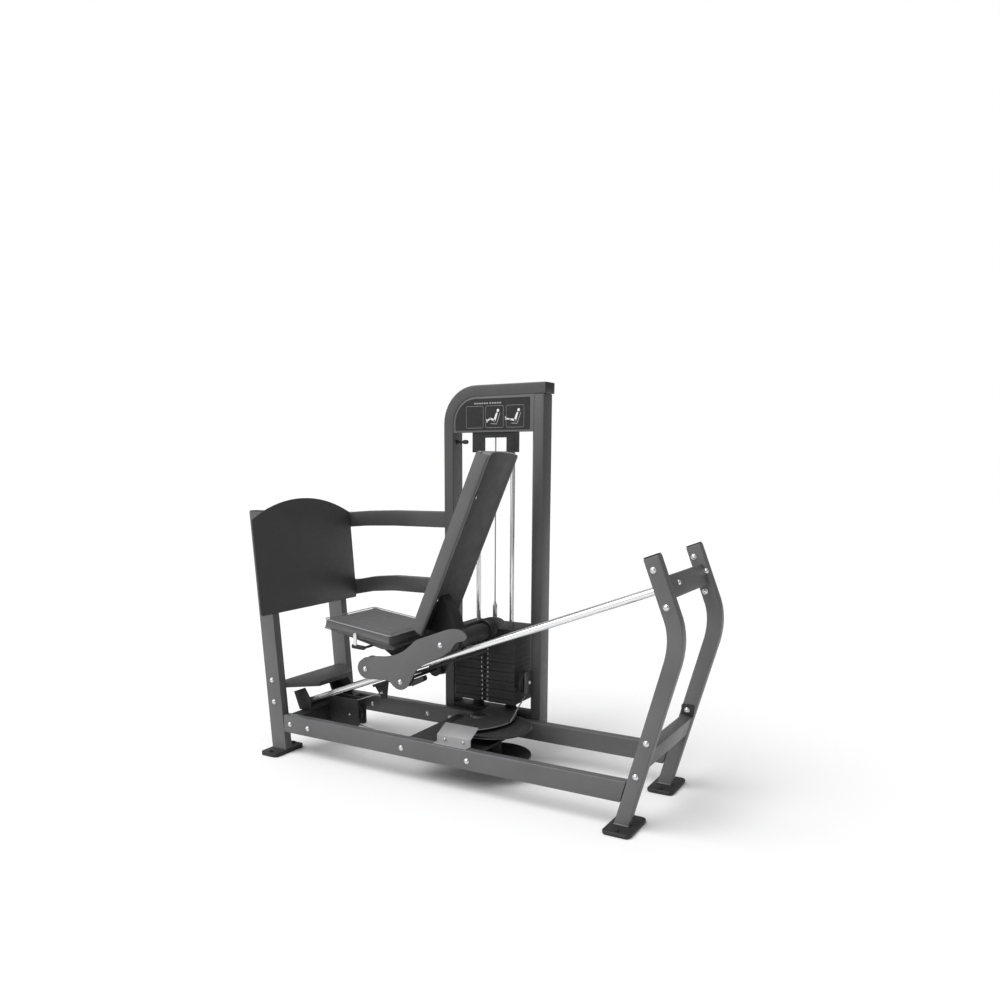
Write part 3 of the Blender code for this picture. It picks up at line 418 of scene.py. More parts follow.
def tubeAlong(points, radius, closed, resolution=3):
    curve = bpy.data.curves.new("route", "CURVE")
    curve.dimensions = "3D"
    curve.bevel_depth = radius
    curve.bevel_resolution = resolution
    curve.use_fill_caps = not closed
    spline = curve.splines.new("POLY")
    spline.points.add(len(points) - 1)
    for point, place in zip(spline.points, points):
        point.co = (*place, 1)
    spline.use_cyclic_u = closed
    holder = bpy.data.objects.new("route", curve)
    bpy.context.scene.collection.objects.link(holder)
    pick(holder)
    bpy.ops.object.convert(target="MESH")
    piece = bpy.context.object
    openMesh()
    bpy.ops.mesh.remove_doubles(threshold=0.00001)
    bpy.ops.mesh.normals_make_consistent(inside=False)
    closeMesh()
    return piece


def dressNode(nodeName, material, edge=0.0012, segments=2, smooth=32, angle=28):
    """a merged copy of a frame part with its edges broken, shown in its place"""
    source = frame["nodes"][nodeName]
    piece = bpy.data.objects.new(nodeName + "_shown", source.data.copy())
    bpy.context.scene.collection.objects.link(piece)
    pick(piece)
    openMesh()
    bpy.ops.mesh.remove_doubles(threshold=0.00002)
    bpy.ops.mesh.dissolve_limited(angle_limit=math.radians(0.6), use_dissolve_boundaries=False)
    closeMesh()
    if edge:
        softenEdges(piece, edge, segments, angle)
    finishPiece(piece, nodeName + "_shown", material, nodeBody[nodeName], smooth)
    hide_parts(nodeName)
    return piece


# ---------------------------------------------------------------- welded frame and tower
def paintFeet(piece):
    """the floor plates under the legs are black"""
    piece.data.materials.append(blackCoat)
    for face in piece.data.polygons:
        if face.center.z < 0.0172:
            face.material_index = 1


coatedParts = {
    "near_floor_rail": 0.0015, "far_floor_rail": 0.0015, "near_front_upright": 0.0045, "far_front_upright": 0.0045,
    "near_rear_leg": 0.0045, "far_rear_leg": 0.0045, "rear_top_crossmember": 0.0012, "rear_lower_crossmember": 0.0012,
    "upper_side_bar": 0.0010, "lower_side_bar": 0.0010, "tower_left_post": 0.0045, "tower_right_post": 0.0012,
    "near_side_plate": 0.0012, "far_side_plate": 0.0012,
}
for nodeName, edge in coatedParts.items():
    # the tower posts and side bars get the darker copy of the grey coat as painted shade, since they stand farther from
    # the light
    coat = shadedFarCoat if nodeName.startswith(("tower", "upper_side", "lower_side")) else greyCoat
    piece = dressNode(nodeName, coat, edge, 3 if edge > 0.003 else 2, 32)
    if nodeName.endswith(("upright", "leg")):
        paintFeet(piece)
dressNode("cam_guard", guardCoat, 0.0010, 2, 32)
# the cam carrier plate gets the black coat instead of the frame's grey: painted shade for the dark space it sits in
dressNode("cam_carrier_plate", blackCoat, 0.0012, 2, 32)
blackParts = {
    "front_crossmember": 0.0012, "guide_tube_mount": 0.0015, "stack_base_beam": 0.0012, "pulley_beam": 0.0012,
    "front_pulley_block": 0.0012, "carriage_frame": 0.0018,
}
for nodeName, edge in blackParts.items():
    dressNode(nodeName, blackCoat, edge, 2, 32)
dressNode("foot_plate", sheetCoat, 0.0016, 3, 40)
dressNode("step_plate", sheetCoat, 0.0012, 2, 32)
dressNode("placard_panel", greyCoat, 0.0006, 2, 32)
dressNode("trolley_bar", blackCoat, 0.0008, 2, 32)
dressNode("seat_shell", shellPlastic, 0.0060, 4, 40)
backTilt = math.radians(23.5)
backUp = Vector((math.sin(backTilt), 0, math.cos(backTilt)))
backOut = Vector((math.cos(backTilt), 0, -math.sin(backTilt)))
backBase = at(-0.1840, 0, 0.5980)


def paintBackrest(piece, hollow):
    """the upward-facing top end is painted paler than the sides as painted light from above, and the hollow back is
    dark plastic carrying painted shade and light
    """
    piece.data.materials.append(topLitPaleVinyl)
    piece.data.materials.append(hollowPlastic)
    for face in piece.data.polygons:
        if face.normal.dot(backUp) > 0.55 and (face.center - backBase).dot(backUp) > 0.780:
            face.material_index = 1
        elif hollow and face.normal.dot(backOut) > 0.5 and (face.center - backBase).dot(backOut) < 0.0625:
            face.material_index = 2


paintBackrest(dressNode("backrest_shell", vinyl, 0.0025, 3, 40, 40), True)
print("leg press: frame dressed")


# ---------------------------------------------------------------- guide tubes and stack rods
tubes = {"radius": 0.0133, "start": -0.830, "end": 0.9640, "sides": 72}


def makeGuideTubes():
    for name, side in (("near_guide_tube", -1), ("far_guide_tube", 1)):
        start = onRail(tubes["start"], 0, side * 0.120)
        end = onRail(tubes["end"], 0, side * 0.120)
        piece = barShape(start, end, tubes["radius"], tubes["sides"], 0.0012)
        finishPiece(piece, name + "_chrome", chrome, "frame")
        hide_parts(name)
    for name, side in (("left_stack_rod", -1), ("right_stack_rod", 1)):
        x = -0.006 + side * 0.083
        piece = barShape(at(x, 0.285, 0.1804), at(x, 0.285, 1.3196), 0.0100, 40, 0.0010)
        finishPiece(piece, name + "_chrome", chrome, "frame")
        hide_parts(name)


makeGuideTubes()


# ---------------------------------------------------------------- wheels, rollers, drum and cam
wheelLooks = {"steps": 64, "hubRadius": 0.0165, "boreRadius": 0.0062}


def grooveProfile(radius, hubHalf, half=0.008):
    rim = radius + 0.0055
    bore = wheelLooks["boreRadius"]
    hub = wheelLooks["hubRadius"]
    return [
        (bore, -hubHalf), (hub - 0.0015, -hubHalf), (hub, -hubHalf + 0.0015), (hub, -half * 0.55),
        (rim * 0.74, -half * 0.55), (rim * 0.80, -half), (rim - 0.0015, -half), (rim, -half + 0.0012),
        (rim, -half + 0.0022), (radius + 0.0012, -0.0028), (radius, -0.0012), (radius, 0.0012),
        (radius + 0.0012, 0.0028), (rim, half - 0.0022), (rim, half - 0.0012), (rim - 0.0015, half),
        (rim * 0.80, half), (rim * 0.74, half * 0.55), (hub, half * 0.55), (hub, hubHalf - 0.0015),
        (hub - 0.0015, hubHalf), (bore, hubHalf),
    ]


def makeWheel(nodeName, centre, axis, radius, hubHalf, half=0.008):
    piece = ringShape(grooveProfile(radius, hubHalf, half), centre, axis, wheelLooks["steps"])
    finishPiece(piece, nodeName + "_wheel", nylon, nodeBody[nodeName])
    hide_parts(nodeName)
    return piece


def makePin(name, centre, axis, half, radius, body):
    axis = Vector(axis)
    shaft = barShape(Vector(centre) - axis * half, Vector(centre) + axis * half, radius, 28, 0.0008)
    return finishPiece(shaft, name, boltSteel, body)


makeWheel("left_upper_pulley", at(-0.006 + 0.0430, 0.285, 1.46), (0, 1, 0), 0.0393, 0.0180)
makeWheel("right_upper_pulley", at(0.174 - 0.0430, 0.285, 1.46), (0, 1, 0), 0.0393, 0.0180)
makeWheel("front_pulley", at(-0.584, 0, 0.153), (0, 1, 0), 0.0450, 0.0214)
makeWheel("lower_pulley", at(0.174, 0.285 - 0.0487, 0.345), (1, 0, 0), 0.0450, 0.0092, 0.0085)
for name, x in (("left_upper_axle", -0.006 + 0.0430), ("right_upper_axle", 0.174 - 0.0430)):
    makePin(name, at(x, 0.285, 1.46), (0, 1, 0), 0.0250, 0.0058, "frame")
makePin("front_pulley_axle", at(-0.584, 0, 0.153), (0, 1, 0), 0.0320, 0.0058, "frame")
makePin("lower_pulley_axle", at(0.178, 0.285 - 0.0487, 0.345), (1, 0, 0), 0.0180, 0.0058, "frame")

rollerSets = {
    "front_rollers": (-0.391, 0.056, 0.0422),
    "lower_rollers": (-0.236, -0.040, 0.0262),
    "rear_rollers": (0.066, 0.053, 0.0392),
}


def makeRollers():
    for nodeName, (t, s, tread) in rollerSets.items():
        body = nodeBody[nodeName]
        centre = onRail(t, s)
        rim = tread + 0.0050
        wheels = []
        for side in (-1, 1):
            profile = [
                (0.0066, -0.0210), (0.0150, -0.0210), (0.0165, -0.0195), (rim * 0.72, -0.0180), (rim - 0.0020, -0.0210),
                (rim, -0.0195), (rim, -0.0172), (tread + 0.0010, -0.0100), (tread, -0.0060), (tread, 0.0060),
                (tread + 0.0010, 0.0100), (rim, 0.0172), (rim, 0.0195), (rim - 0.0020, 0.0210),
                (rim * 0.72, 0.0180), (0.0165, 0.0195), (0.0150, 0.0210), (0.0066, 0.0210),
            ]
            wheels.append(ringShape(profile, centre + Vector((0, side * 0.120, 0)), (0, 1, 0), 56))
        piece = joined(wheels)
        finishPiece(piece, nodeName + "_treads", nylon, body)
        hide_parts(nodeName)
        sleeve = 0.0360 if nodeName == "rear_rollers" else 0.0064
        axle = barShape(centre - Vector((0, 0.1545, 0)), centre + Vector((0, 0.1545, 0)), sleeve, 32, 0.0006)
        finishPiece(axle, nodeName + "_axle", blackCoat, body)


camLooks = {
    "axle": (0.050, 0.050), "arcX": -0.054, "arcY": 0.068, "arcRadius": 0.2422, "left": 0.0063, "low": -0.1497,
    "high": 0.2547, "lowX": 0.120, "lowY": 0.040, "lowRadius": 0.1648,
}


def camCorners(z):
    look = camLooks
    first = math.asin((look["low"] - look["arcY"]) / look["arcRadius"])
    last = math.asin((look["high"] - look["arcY"]) / look["arcRadius"])
    corners = []
    for i in range(73):
        turn = first + (last - first) * i / 72
        corners.append(at(look["arcX"] + look["arcRadius"] * math.cos(turn), look["arcY"] + look["arcRadius"] * math.sin(turn), z))
    for x, y, start in ((look["left"], look["high"], 90), (look["left"], look["low"], 180)):
        inner = y - 0.012 if start == 90 else y + 0.012
        for k in range(5):
            turn = math.radians(start + 90 * k / 4)
            corners.append(at(x + 0.012 + 0.012 * math.cos(turn), inner + 0.012 * math.sin(turn), z))
    return corners


def makeCam():
    look = camLooks
    axle = at(*look["axle"], 0)
    plate = sheetShape(camCorners(0.2052), Vector((0, 0, 0.0137)))
    softenEdges(plate, 0.0030, 3, 50)
    hub = [
        (0.0300, 0.1567), (0.0315, 0.1567), (0.0315, 0.2050), (0.0640, 0.2050), (0.0640, 0.2185), (0.0600, 0.2200),
        (0.0380, 0.2212), (0.0340, 0.2290), (0.0300, 0.2300),
    ]
    hub = ringShape(hub, axle, (0, 0, 1), 64)
    rim = look["lowRadius"]
    lower = [
        (0.0300, 0.1841), (rim - 0.0038, 0.1841), (rim - 0.0005, 0.1846), (rim, 0.1858), (rim - 0.0028, 0.1895),
        (rim - 0.0030, 0.1910), (rim - 0.0028, 0.1928), (rim, 0.1964), (rim - 0.0005, 0.1975), (rim - 0.0038, 0.1980),
        (rim - 0.0158, 0.1980), (rim - 0.0198, 0.1968), (0.0300, 0.1968),
    ]
    low = ringShape(lower, at(look["lowX"], look["lowY"], 0), (0, 0, 1), 128)
    spacer = ringShape([(0.010, 0.1842), (0.055, 0.1842), (0.055, 0.2054), (0.010, 0.2054)], at(0.068, 0.050, 0), (0, 0, 1), 64)
    piece = joined([plate, hub, low, spacer])
    finishPiece(piece, "compound_cam_discs", camCoat, "cam")
    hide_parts("compound_cam")
    cap = ringShape([(0.0, 0.2180), (0.0295, 0.2180), (0.0295, 0.2296), (0.0270, 0.2308), (0.0, 0.2309)], axle, (0, 0, 1), 48)
    finishPiece(cap, "cam_hub_cap", trimPlastic, "cam")


def makeDrum():
    profile = [
        (0.0120, 0.1455), (0.0200, 0.1455), (0.0205, 0.0945), (0.1360, 0.0940), (0.1408, 0.0936), (0.1418, 0.0925),
        (0.1388, 0.0890), (0.1386, 0.0870), (0.1388, 0.0850), (0.1418, 0.0815), (0.1408, 0.0804), (0.1360, 0.0800),
        (0.0420, 0.0800), (0.0380, 0.0785), (0.0230, 0.0785), (0.0210, 0.0722), (0.0120, 0.0722),
    ]
    piece = ringShape(profile, at(0.165, 0, 0), (0, 0, 1), 112)
    finishPiece(piece, "lower_drum_disc", blackCoat, "drum")
    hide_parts("lower_drum")


makeRollers()
makeCam()
makeDrum()
print("leg press: wheels, rollers and cam made")

# ---------------------------------------------------------------- weight stack
stackLooks = {"low": 0.245, "pitch": 0.0203, "plates": 15, "numberSize": 0.0135, "spread": 0.0155}


def makeStack():
    singles = ["weight_plate_%02d" % (i + 1) for i in range(5)]
    doubles = ["double_plate_%02d" % (i + 1) for i in range(5)]
    for nodeName in singles + doubles + ["stack_top_plate"]:
        dressNode(nodeName, plateBlack, 0.0016, 3, 32)
    dressNode("selector_rod", groundSteel, 0.0005, 1, 40)
    for i in range(stackLooks["plates"]):
        z = stackLooks["low"] + (stackLooks["plates"] - i - 0.5) * stackLooks["pitch"]
        body = "lifted_stack" if i < 5 else "frame"
        collar = ringShape(
            [(0.0056, -0.0006), (0.0085, -0.0006), (0.0085, 0.0002), (0.0080, 0.0007), (0.0056, 0.0007)],
            at(-0.006, 0.1948, z), (0, -1, 0), 28,
        )
        finishPiece(collar, "pin_hole_collar_%02d" % (i + 1), trimPlastic, body)
        dot = ringShape([(0.0, -0.0010), (0.0036, -0.0010), (0.0036, 0.0002), (0.0, 0.0004)], at(0.0285, 0.1900, z), (0, -1, 0), 20)
        finishPiece(dot, "plate_dimple_%02d" % (i + 1), trimPlastic, body)
        for label, side in (("left", -1), ("right", 1)):
            clearSelection()
            bpy.ops.object.text_add()
            number = bpy.context.object
            number.data.body = str(i + 1)
            number.data.size = stackLooks["numberSize"]
            number.data.align_x = "CENTER"
            number.data.align_y = "CENTER"
            number.data.extrude = 0.00015
            number.data.offset = 0.0003
            number.data.resolution_u = 2
            bpy.ops.object.convert(target="MESH")
            number = bpy.context.object
            turn = Matrix.Rotation(math.radians(90), 4, "X")
            number.data.transform(Matrix.Translation(at(-0.006 + side * stackLooks["spread"], 0.1948, z)) @ turn)
            finishPiece(number, "plate_number_%s_%02d" % (label, i + 1), whiteInk, body)


def makeSelectorPin():
    z = stackLooks["low"] + 10.5 * stackLooks["pitch"]
    centre = at(-0.006, 0.285, z)
    shaft = [(0.0, 0.002), (0.0030, 0.002), (0.0042, 0.006), (0.0042, 0.0958), (0.0, 0.0958)]
    head = [
        (0.0, 0.0952), (0.0108, 0.0952), (0.0120, 0.0960), (0.0129, 0.0980), (0.0129, 0.1035), (0.0118, 0.1060),
        (0.0085, 0.1073), (0.0, 0.1075),
    ]
    piece = ringShape(head, centre, (0, -1, 0), 40)
    finishPiece(piece, "selector_pin_head", gripRubber, "pin")
    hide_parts("selector_pin")
    rod = ringShape(shaft, centre, (0, -1, 0), 24)
    finishPiece(rod, "selector_pin_shaft", boltSteel, "pin")


def makeBumpers():
    for name, side in (("left_bumper_sleeve", -1), ("right_bumper_sleeve", 1)):
        x = -0.006 + side * 0.083
        profile = [
            (0.0186, 0.1984), (0.0255, 0.1984), (0.0262, 0.2000), (0.0262, 0.2070), (0.0235, 0.2100), (0.0235, 0.2170),
            (0.0258, 0.2200), (0.0258, 0.2270), (0.0230, 0.2300), (0.0230, 0.2360), (0.0210, 0.2420), (0.0186, 0.2440),
        ]
        piece = ringShape(profile, at(x, 0.285, 0), (0, 0, 1), 44)
        finishPiece(piece, name, bumperRubber, "frame")


def makeStorageHook():
    profile = [
        (0.0, 0.0004), (0.0100, 0.0004), (0.0100, 0.0035), (0.0060, 0.0045), (0.0055, 0.0300), (0.0080, 0.0330),
        (0.0090, 0.0370), (0.0090, 0.0500), (0.0075, 0.0545), (0.0, 0.0558),
    ]
    piece = ringShape(profile, at(-0.200, 0.285, 1.365), (1, 0, 0), 36)
    finishPiece(piece, "pin_storage_knob", trimPlastic, "frame")
    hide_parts("pin_storage_hook")


makeStack()
makeSelectorPin()
makeBumpers()
makeStorageHook()
print("leg press: stack made")

# ---------------------------------------------------------------- bolts
boltLooks = {"washer": 0.0108, "head": 0.0088, "socket": 0.0034}


def makeBoltMaster():
    """round button head with a socket, on a flat washer"""
    washer, head, socket = boltLooks["washer"], boltLooks["head"], boltLooks["socket"]
    seat = ringShape([(0.0, 0.0), (washer - 0.0006, 0.0), (washer, 0.0005), (washer, 0.0012), (washer - 0.0007, 0.0017), (0.0, 0.0017)],
                     (0, 0, 0), (0, 0, 1), 32)
    cap = ringShape([(0.0, 0.0014), (head, 0.0014), (head, 0.0026), (head * 0.92, 0.0046), (head * 0.70, 0.0063),
                     (socket + 0.0004, 0.0071), (socket, 0.0068), (socket * 0.9, 0.0040), (0.0, 0.0038)], (0, 0, 0), (0, 0, 1), 32)
    master = joined([seat, cap])
    master.name = "bolt_master"
    return master


boltPlaces = [
    ("near_rail_bolt", "frame", (0, -1, 0), [(-0.740, -0.2526, 0.138), (-0.638, -0.2526, 0.135), (-0.139, -0.2526, 0.135), (0.172, -0.2526, 0.136)]),
    ("near_leg_bolt", "frame", (0, -1, 0), [(0.893, -0.2526, 0.926), (0.942, -0.2526, 0.805), (0.890, -0.2526, 0.329), (0.856, -0.2526, 0.203)]),
    ("near_upright_bolt", "frame", (0, -1, 0), [(-0.838, -0.2526, 0.327), (-0.830, -0.2526, 0.229)]),
    ("far_rail_bolt", "frame", (0, -1, 0), [(-0.321, 0.2122, 0.135), (-0.198, 0.2122, 0.134), (-0.640, 0.2122, 0.135)]),
    ("far_leg_bolt", "frame", (0, -1, 0), [(0.888, 0.2122, 0.927), (0.937, 0.2122, 0.876), (0.937, 0.2122, 0.800), (0.8892, 0.2080, 0.3328)]),
    ("far_rail_outer_bolt", "frame", (0, 1, 0), [(-0.740, 0.2526, 0.138), (-0.638, 0.2526, 0.135), (0.340, 0.2526, 0.136)]),
    ("far_leg_outer_bolt", "frame", (0, 1, 0), [(0.893, 0.2526, 0.926), (0.942, 0.2526, 0.805), (0.890, 0.2526, 0.329), (0.856, 0.2526, 0.203)]),
    ("far_upright_outer_bolt", "frame", (0, 1, 0), [(-0.838, 0.2526, 0.327), (-0.830, 0.2526, 0.229)]),
    ("post_foot_bolt", "frame", (0, 1, 0), [(-0.224, 0.3322, 0.120), (-0.224, 0.3322, 0.156), (0.212, 0.3322, 0.120), (0.212, 0.3322, 0.156)]),
]


def makeBolts():
    master = makeBoltMaster()
    for name, body, normal, places in boltPlaces:
        turn = Vector(normal).to_track_quat("Z", "Y")
        for i, place in enumerate(places):
            copy = placedCopy(master, turn, at(*place))
            finishPiece(copy, "%s_%d" % (name, i + 1), boltSteel, body)
    for side in (-1, 1):
        turn = Vector((0, side, 0)).to_track_quat("Z", "Y")
        label = "near" if side < 0 else "far"
        for i, (t, s) in enumerate(((-0.391, 0.056), (-0.234, -0.040), (0.015, 0.053))):
            copy = placedCopy(master, turn, onRail(t, s, side * 0.1632))
            finishPiece(copy, "%s_plate_bolt_%d" % (label, i + 1), boltSteel, "carriage")
    turn = Vector((math.cos(slope), 0, math.sin(slope))).to_track_quat("Z", "Y")
    for i, y in enumerate((-0.107,)):
        place = at(0.9184, y, 0.8597) + along * 0.0202 + above * 0.006
        copy = placedCopy(master, turn, place)
        finishPiece(copy, "crossmember_bolt_%d" % (i + 1), boltSteel, "frame")
    turn = Vector((1, 0, 0)).to_track_quat("Z", "Y")
    copy = placedCopy(master, turn, at(0.1930, 0.285 - 0.0487, 0.345))
    finishPiece(copy, "lower_pulley_bolt", boltSteel, "frame")
    bpy.data.objects.remove(master)


def makeEndFlange():
    """dark lug where the lower cross tube is bolted to the far rear leg"""
    corners = roundLoop(at(0.8915, 0.2121, 0.3320), Vector((1, 0, 0)), Vector((0, 0, 1)), 0.0250, 0.0250, 0.008, 4)
    lug = sheetShape(corners, Vector((0, -0.0040, 0)))
    softenEdges(lug, 0.0008, 2, 30)
    finishPiece(lug, "lower_crossmember_lug", blackCoat, "frame")


makeBolts()
makeEndFlange()


# ---------------------------------------------------------------- tube plugs
def makePlug(name, centre, normal, up, width, height, body="frame"):
    """moulded end plug, a thin domed cap over the mouth of a tube"""
    normal, up = Vector(normal).normalized(), Vector(up).normalized()
    side = up.cross(normal)
    corners = []
    for a, b in ((-1, -1), (1, -1), (1, 1), (-1, 1)):
        for k in range(4):
            turn = math.atan2(b, a) - math.pi / 4 + math.pi / 2 * k / 3
            x = a * (width / 2 - 0.005) + 0.005 * math.cos(turn)
            y = b * (height / 2 - 0.005) + 0.005 * math.sin(turn)
            corners.append(Vector(centre) + side * x + up * y + normal * 0.0002)
    piece = sheetShape(corners, normal * 0.0030)
    openMesh()
    bpy.ops.mesh.select_all(action="DESELECT")
    closeMesh()
    for face in piece.data.polygons:
        if face.normal.dot(normal) > 0.9 and len(face.vertices) > 8:
            face.select = (face.center - Vector(centre)).dot(normal) > 0.001
    bpy.ops.object.mode_set(mode="EDIT")
    bpy.ops.mesh.inset(thickness=0.0035, depth=0.0012)
    closeMesh()
    softenEdges(piece, 0.0007, 2, 25)
    finishPiece(piece, name, trimPlastic, body)
    return piece


def makePlugs():
    lean = math.atan(0.0777)
    for label, y in (("near", -0.2324), ("far", 0.2324)):
        x = -0.848 - 0.0777 * 1.070 + 0.040
        makePlug(label + "_upright_plug", at(x, y, 1.0700), (0, 0, 1), (1, 0, 0), 0.038, 0.078)
        upper = Vector((-math.sin(slope), 0, math.cos(slope)))
        across = Vector((math.cos(slope), 0, math.sin(slope)))
        top = at(0.856, y, 0.960) + across * 0.028
        makePlug(label + "_leg_plug", top, upper, across, 0.038, 0.054)
        makePlug(label + "_rail_front_plug", at(-0.7755, y, 0.138), (-1, 0, 0), (0, 0, 1), 0.038, 0.076)
    makePlug("top_bar_plug", at(0.2417, 0.2924, 1.5765), (1, 0, 0), (0, 0, 1), 0.077, 0.045)


makePlugs()
print("leg press: bolts and plugs made")

# ---------------------------------------------------------------- placard
placardLooks = {"front": 0.2550, "boxes": [(-0.134, -0.050), (-0.038, 0.047), (0.061, 0.144)], "low": 1.422, "high": 1.512}


def flatCorners(points, y):
    return [at(x, y, z) for x, z in points]


def makePlacard():
    y = placardLooks["front"] - 0.0002
    centre = Vector((-0.090, 1.442))
    points = [(-0.1890, 1.4120), (0.1720, 1.4120), (0.1720, 1.5430)]
    radius = 0.0990
    for i in range(13):
        turn = math.radians(90 + 90 * i / 12)
        points.append((centre.x + radius * math.cos(turn), centre.y + 0.0020 + radius * math.sin(turn)))
    field = sheetShape(flatCorners(points, y), Vector((0, -0.0006, 0)))
    softenEdges(field, 0.0003, 1, 25)
    finishPiece(field, "placard_field", fieldInk, "frame")
    for i, (left, right) in enumerate(placardLooks["boxes"]):
        makeBoxLine(i, left, right, y - 0.0006)
    seatedFigure(1, 0.0045, 1.467, 118, y - 0.0006)
    seatedFigure(2, 0.1025, 1.467, 176, y - 0.0006)
    for i in range(11):
        left = -0.094 + 0.0118 * i + (0.004 if i > 5 else 0.0)
        bar = sheetShape(flatCorners([(left, 1.5205), (left + 0.0080, 1.5205), (left + 0.0080, 1.5265), (left, 1.5265)], y - 0.0006),
                         Vector((0, -0.0004, 0)))
        finishPiece(bar, "title_dash_%02d" % (i + 1), paleInk, "frame")


def makeBoxLine(index, left, right, y):
    """thin raised outline of one picture box"""
    low, high = placardLooks["low"], placardLooks["high"]
    centre = at((left + right) / 2, y, (low + high) / 2)
    corners = roundLoop(centre, Vector((1, 0, 0)), Vector((0, 0, 1)), (right - left) / 2, (high - low) / 2, 0.006, 4)
    piece = tubeAlong(corners, 0.0007, True, 2)
    finishPiece(piece, "placard_box_%d" % (index + 1), lineInk, "frame")


def limb(start, end, widthStart, widthEnd):
    start, end = Vector(start), Vector(end)
    run = (end - start).normalized()
    side = Vector((-run.y, run.x))
    base = math.atan2(side.y, side.x)
    corners = []
    for centre, width, first in ((start, widthStart, base), (end, widthEnd, base + math.pi)):
        for k in range(7):
            turn = first + math.pi * k / 6
            corners.append(centre + Vector((math.cos(turn), math.sin(turn))) * width)
    return corners


def seatedFigure(index, x, z, kneeTurn, y):
    """a plain stick person on a sloping seat: head, back, thigh, shin and foot"""
    hip = Vector((x, z - 0.016))
    shoulder = hip + Vector((0.011, 0.029))
    head = hip + Vector((0.0165, 0.0405))
    lift = math.radians(kneeTurn)
    knee = hip + Vector((-0.021, 0.010)) if kneeTurn < 150 else hip + Vector((-0.023, 0.004))
    foot = knee + Vector((-0.014, -0.012)) if kneeTurn < 150 else knee + Vector((-0.020, 0.003))
    shapes = [limb(hip, shoulder, 0.0052, 0.0040), limb(hip, knee, 0.0042, 0.0034), limb(knee, foot, 0.0032, 0.0026),
              limb(foot + Vector((-0.001, -0.004)), foot + Vector((-0.002, 0.007)), 0.0020, 0.0020),
              limb(head, head + Vector((0.0008, 0.0012)), 0.0058, 0.0058)]
    pieces = [sheetShape(flatCorners([tuple(c) for c in shape], y), Vector((0, -0.0004, 0))) for shape in shapes]
    seatLine = sheetShape(flatCorners([tuple(c) for c in limb(hip + Vector((-0.016, -0.012)), hip + Vector((0.010, -0.014)), 0.0016, 0.0016)], y),
                          Vector((0, -0.0003, 0)))
    rest = sheetShape(flatCorners([tuple(c) for c in limb(hip + Vector((0.012, -0.010)), hip + Vector((0.026, 0.030)), 0.0016, 0.0016)], y),
                      Vector((0, -0.0003, 0)))
    finishPiece(joined(pieces), "press_figure_%d" % index, whiteInk, "frame")
    finishPiece(joined([seatLine, rest]), "press_figure_seat_%d" % index, lineInk, "frame")


makePlacard()
print("leg press: placard made")


# ---------------------------------------------------------------- pads
padLooks = {
    "seat_pad": {"voxel": 0.005, "cap": 0.0035, "shrink": 0.0030, "pressure": 4.0, "body": "carriage", "fill": 0.9},
    "backrest_pad": {"voxel": 0.006, "cap": 0.0035, "shrink": 0.0030, "pressure": 4.0, "body": "carriage", "fill": 0.9},
}
seatRun = Vector((0.3520, 0, -0.0435)).normalized()
seatDown = Vector((seatRun.z, 0, -seatRun.x))


def swellPad(nodeName, under):
    """covered foam: a slightly smaller closed shape blown up as cloth, flat on its board"""
    look = padLooks[nodeName]
    source = frame["nodes"][nodeName]
    piece = bpy.data.objects.new(nodeName + "_cushion", source.data.copy())
    bpy.context.scene.collection.objects.link(piece)
    pick(piece)
    openMesh()
    bpy.ops.mesh.remove_doubles(threshold=0.00002)
    closeMesh()
    middle = sum((v.co for v in piece.data.vertices), Vector()) / len(piece.data.vertices)
    remesh = piece.modifiers.new("skin", "REMESH")
    remesh.mode = "VOXEL"
    remesh.voxel_size = look["voxel"]
    bpy.ops.object.modifier_apply(modifier="skin")
    openMesh()
    bpy.ops.mesh.normals_make_consistent(inside=False)
    bpy.ops.mesh.vertices_smooth(factor=0.5, repeat=2)
    bpy.ops.transform.shrink_fatten(value=-look["shrink"])
    closeMesh()
    rest = [v.co.copy() for v in piece.data.vertices]
    low = max((co - middle).dot(under) for co in rest)
    held = piece.vertex_groups.new(name="board")
    held.add([v.index for v in piece.data.vertices if (v.co - middle).dot(under) > low - 0.004], 1.0, "REPLACE")
    cloth = piece.modifiers.new("foam", "CLOTH")
    cloth.settings.quality = 5
    cloth.settings.use_pressure = True
    cloth.settings.uniform_pressure_force = look["pressure"]
    cloth.settings.vertex_group_mass = "board"
    cloth.settings.effector_weights.gravity = 0.0
    cloth.settings.tension_stiffness = 30
    cloth.settings.compression_stiffness = 30
    cloth.point_cache.frame_start = 1
    cloth.point_cache.frame_end = 20
    for step in range(1, 21):
        bpy.context.scene.frame_set(step)
    bpy.ops.object.modifier_apply(modifier="foam")
    bpy.context.scene.frame_set(1)
    for vertex, before in zip(piece.data.vertices, rest):
        move = vertex.co - before
        if move.length > look["cap"]:
            vertex.co = before + move.normalized() * look["cap"]
    smooth = piece.modifiers.new("even", "SUBSURF")
    smooth.levels = 1
    smooth.render_levels = 1
    pick(piece)
    bpy.ops.object.modifier_apply(modifier="even")
    finishPiece(piece, nodeName + "_cushion", vinyl, look["body"], 60)
    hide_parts(nodeName)
    return piece


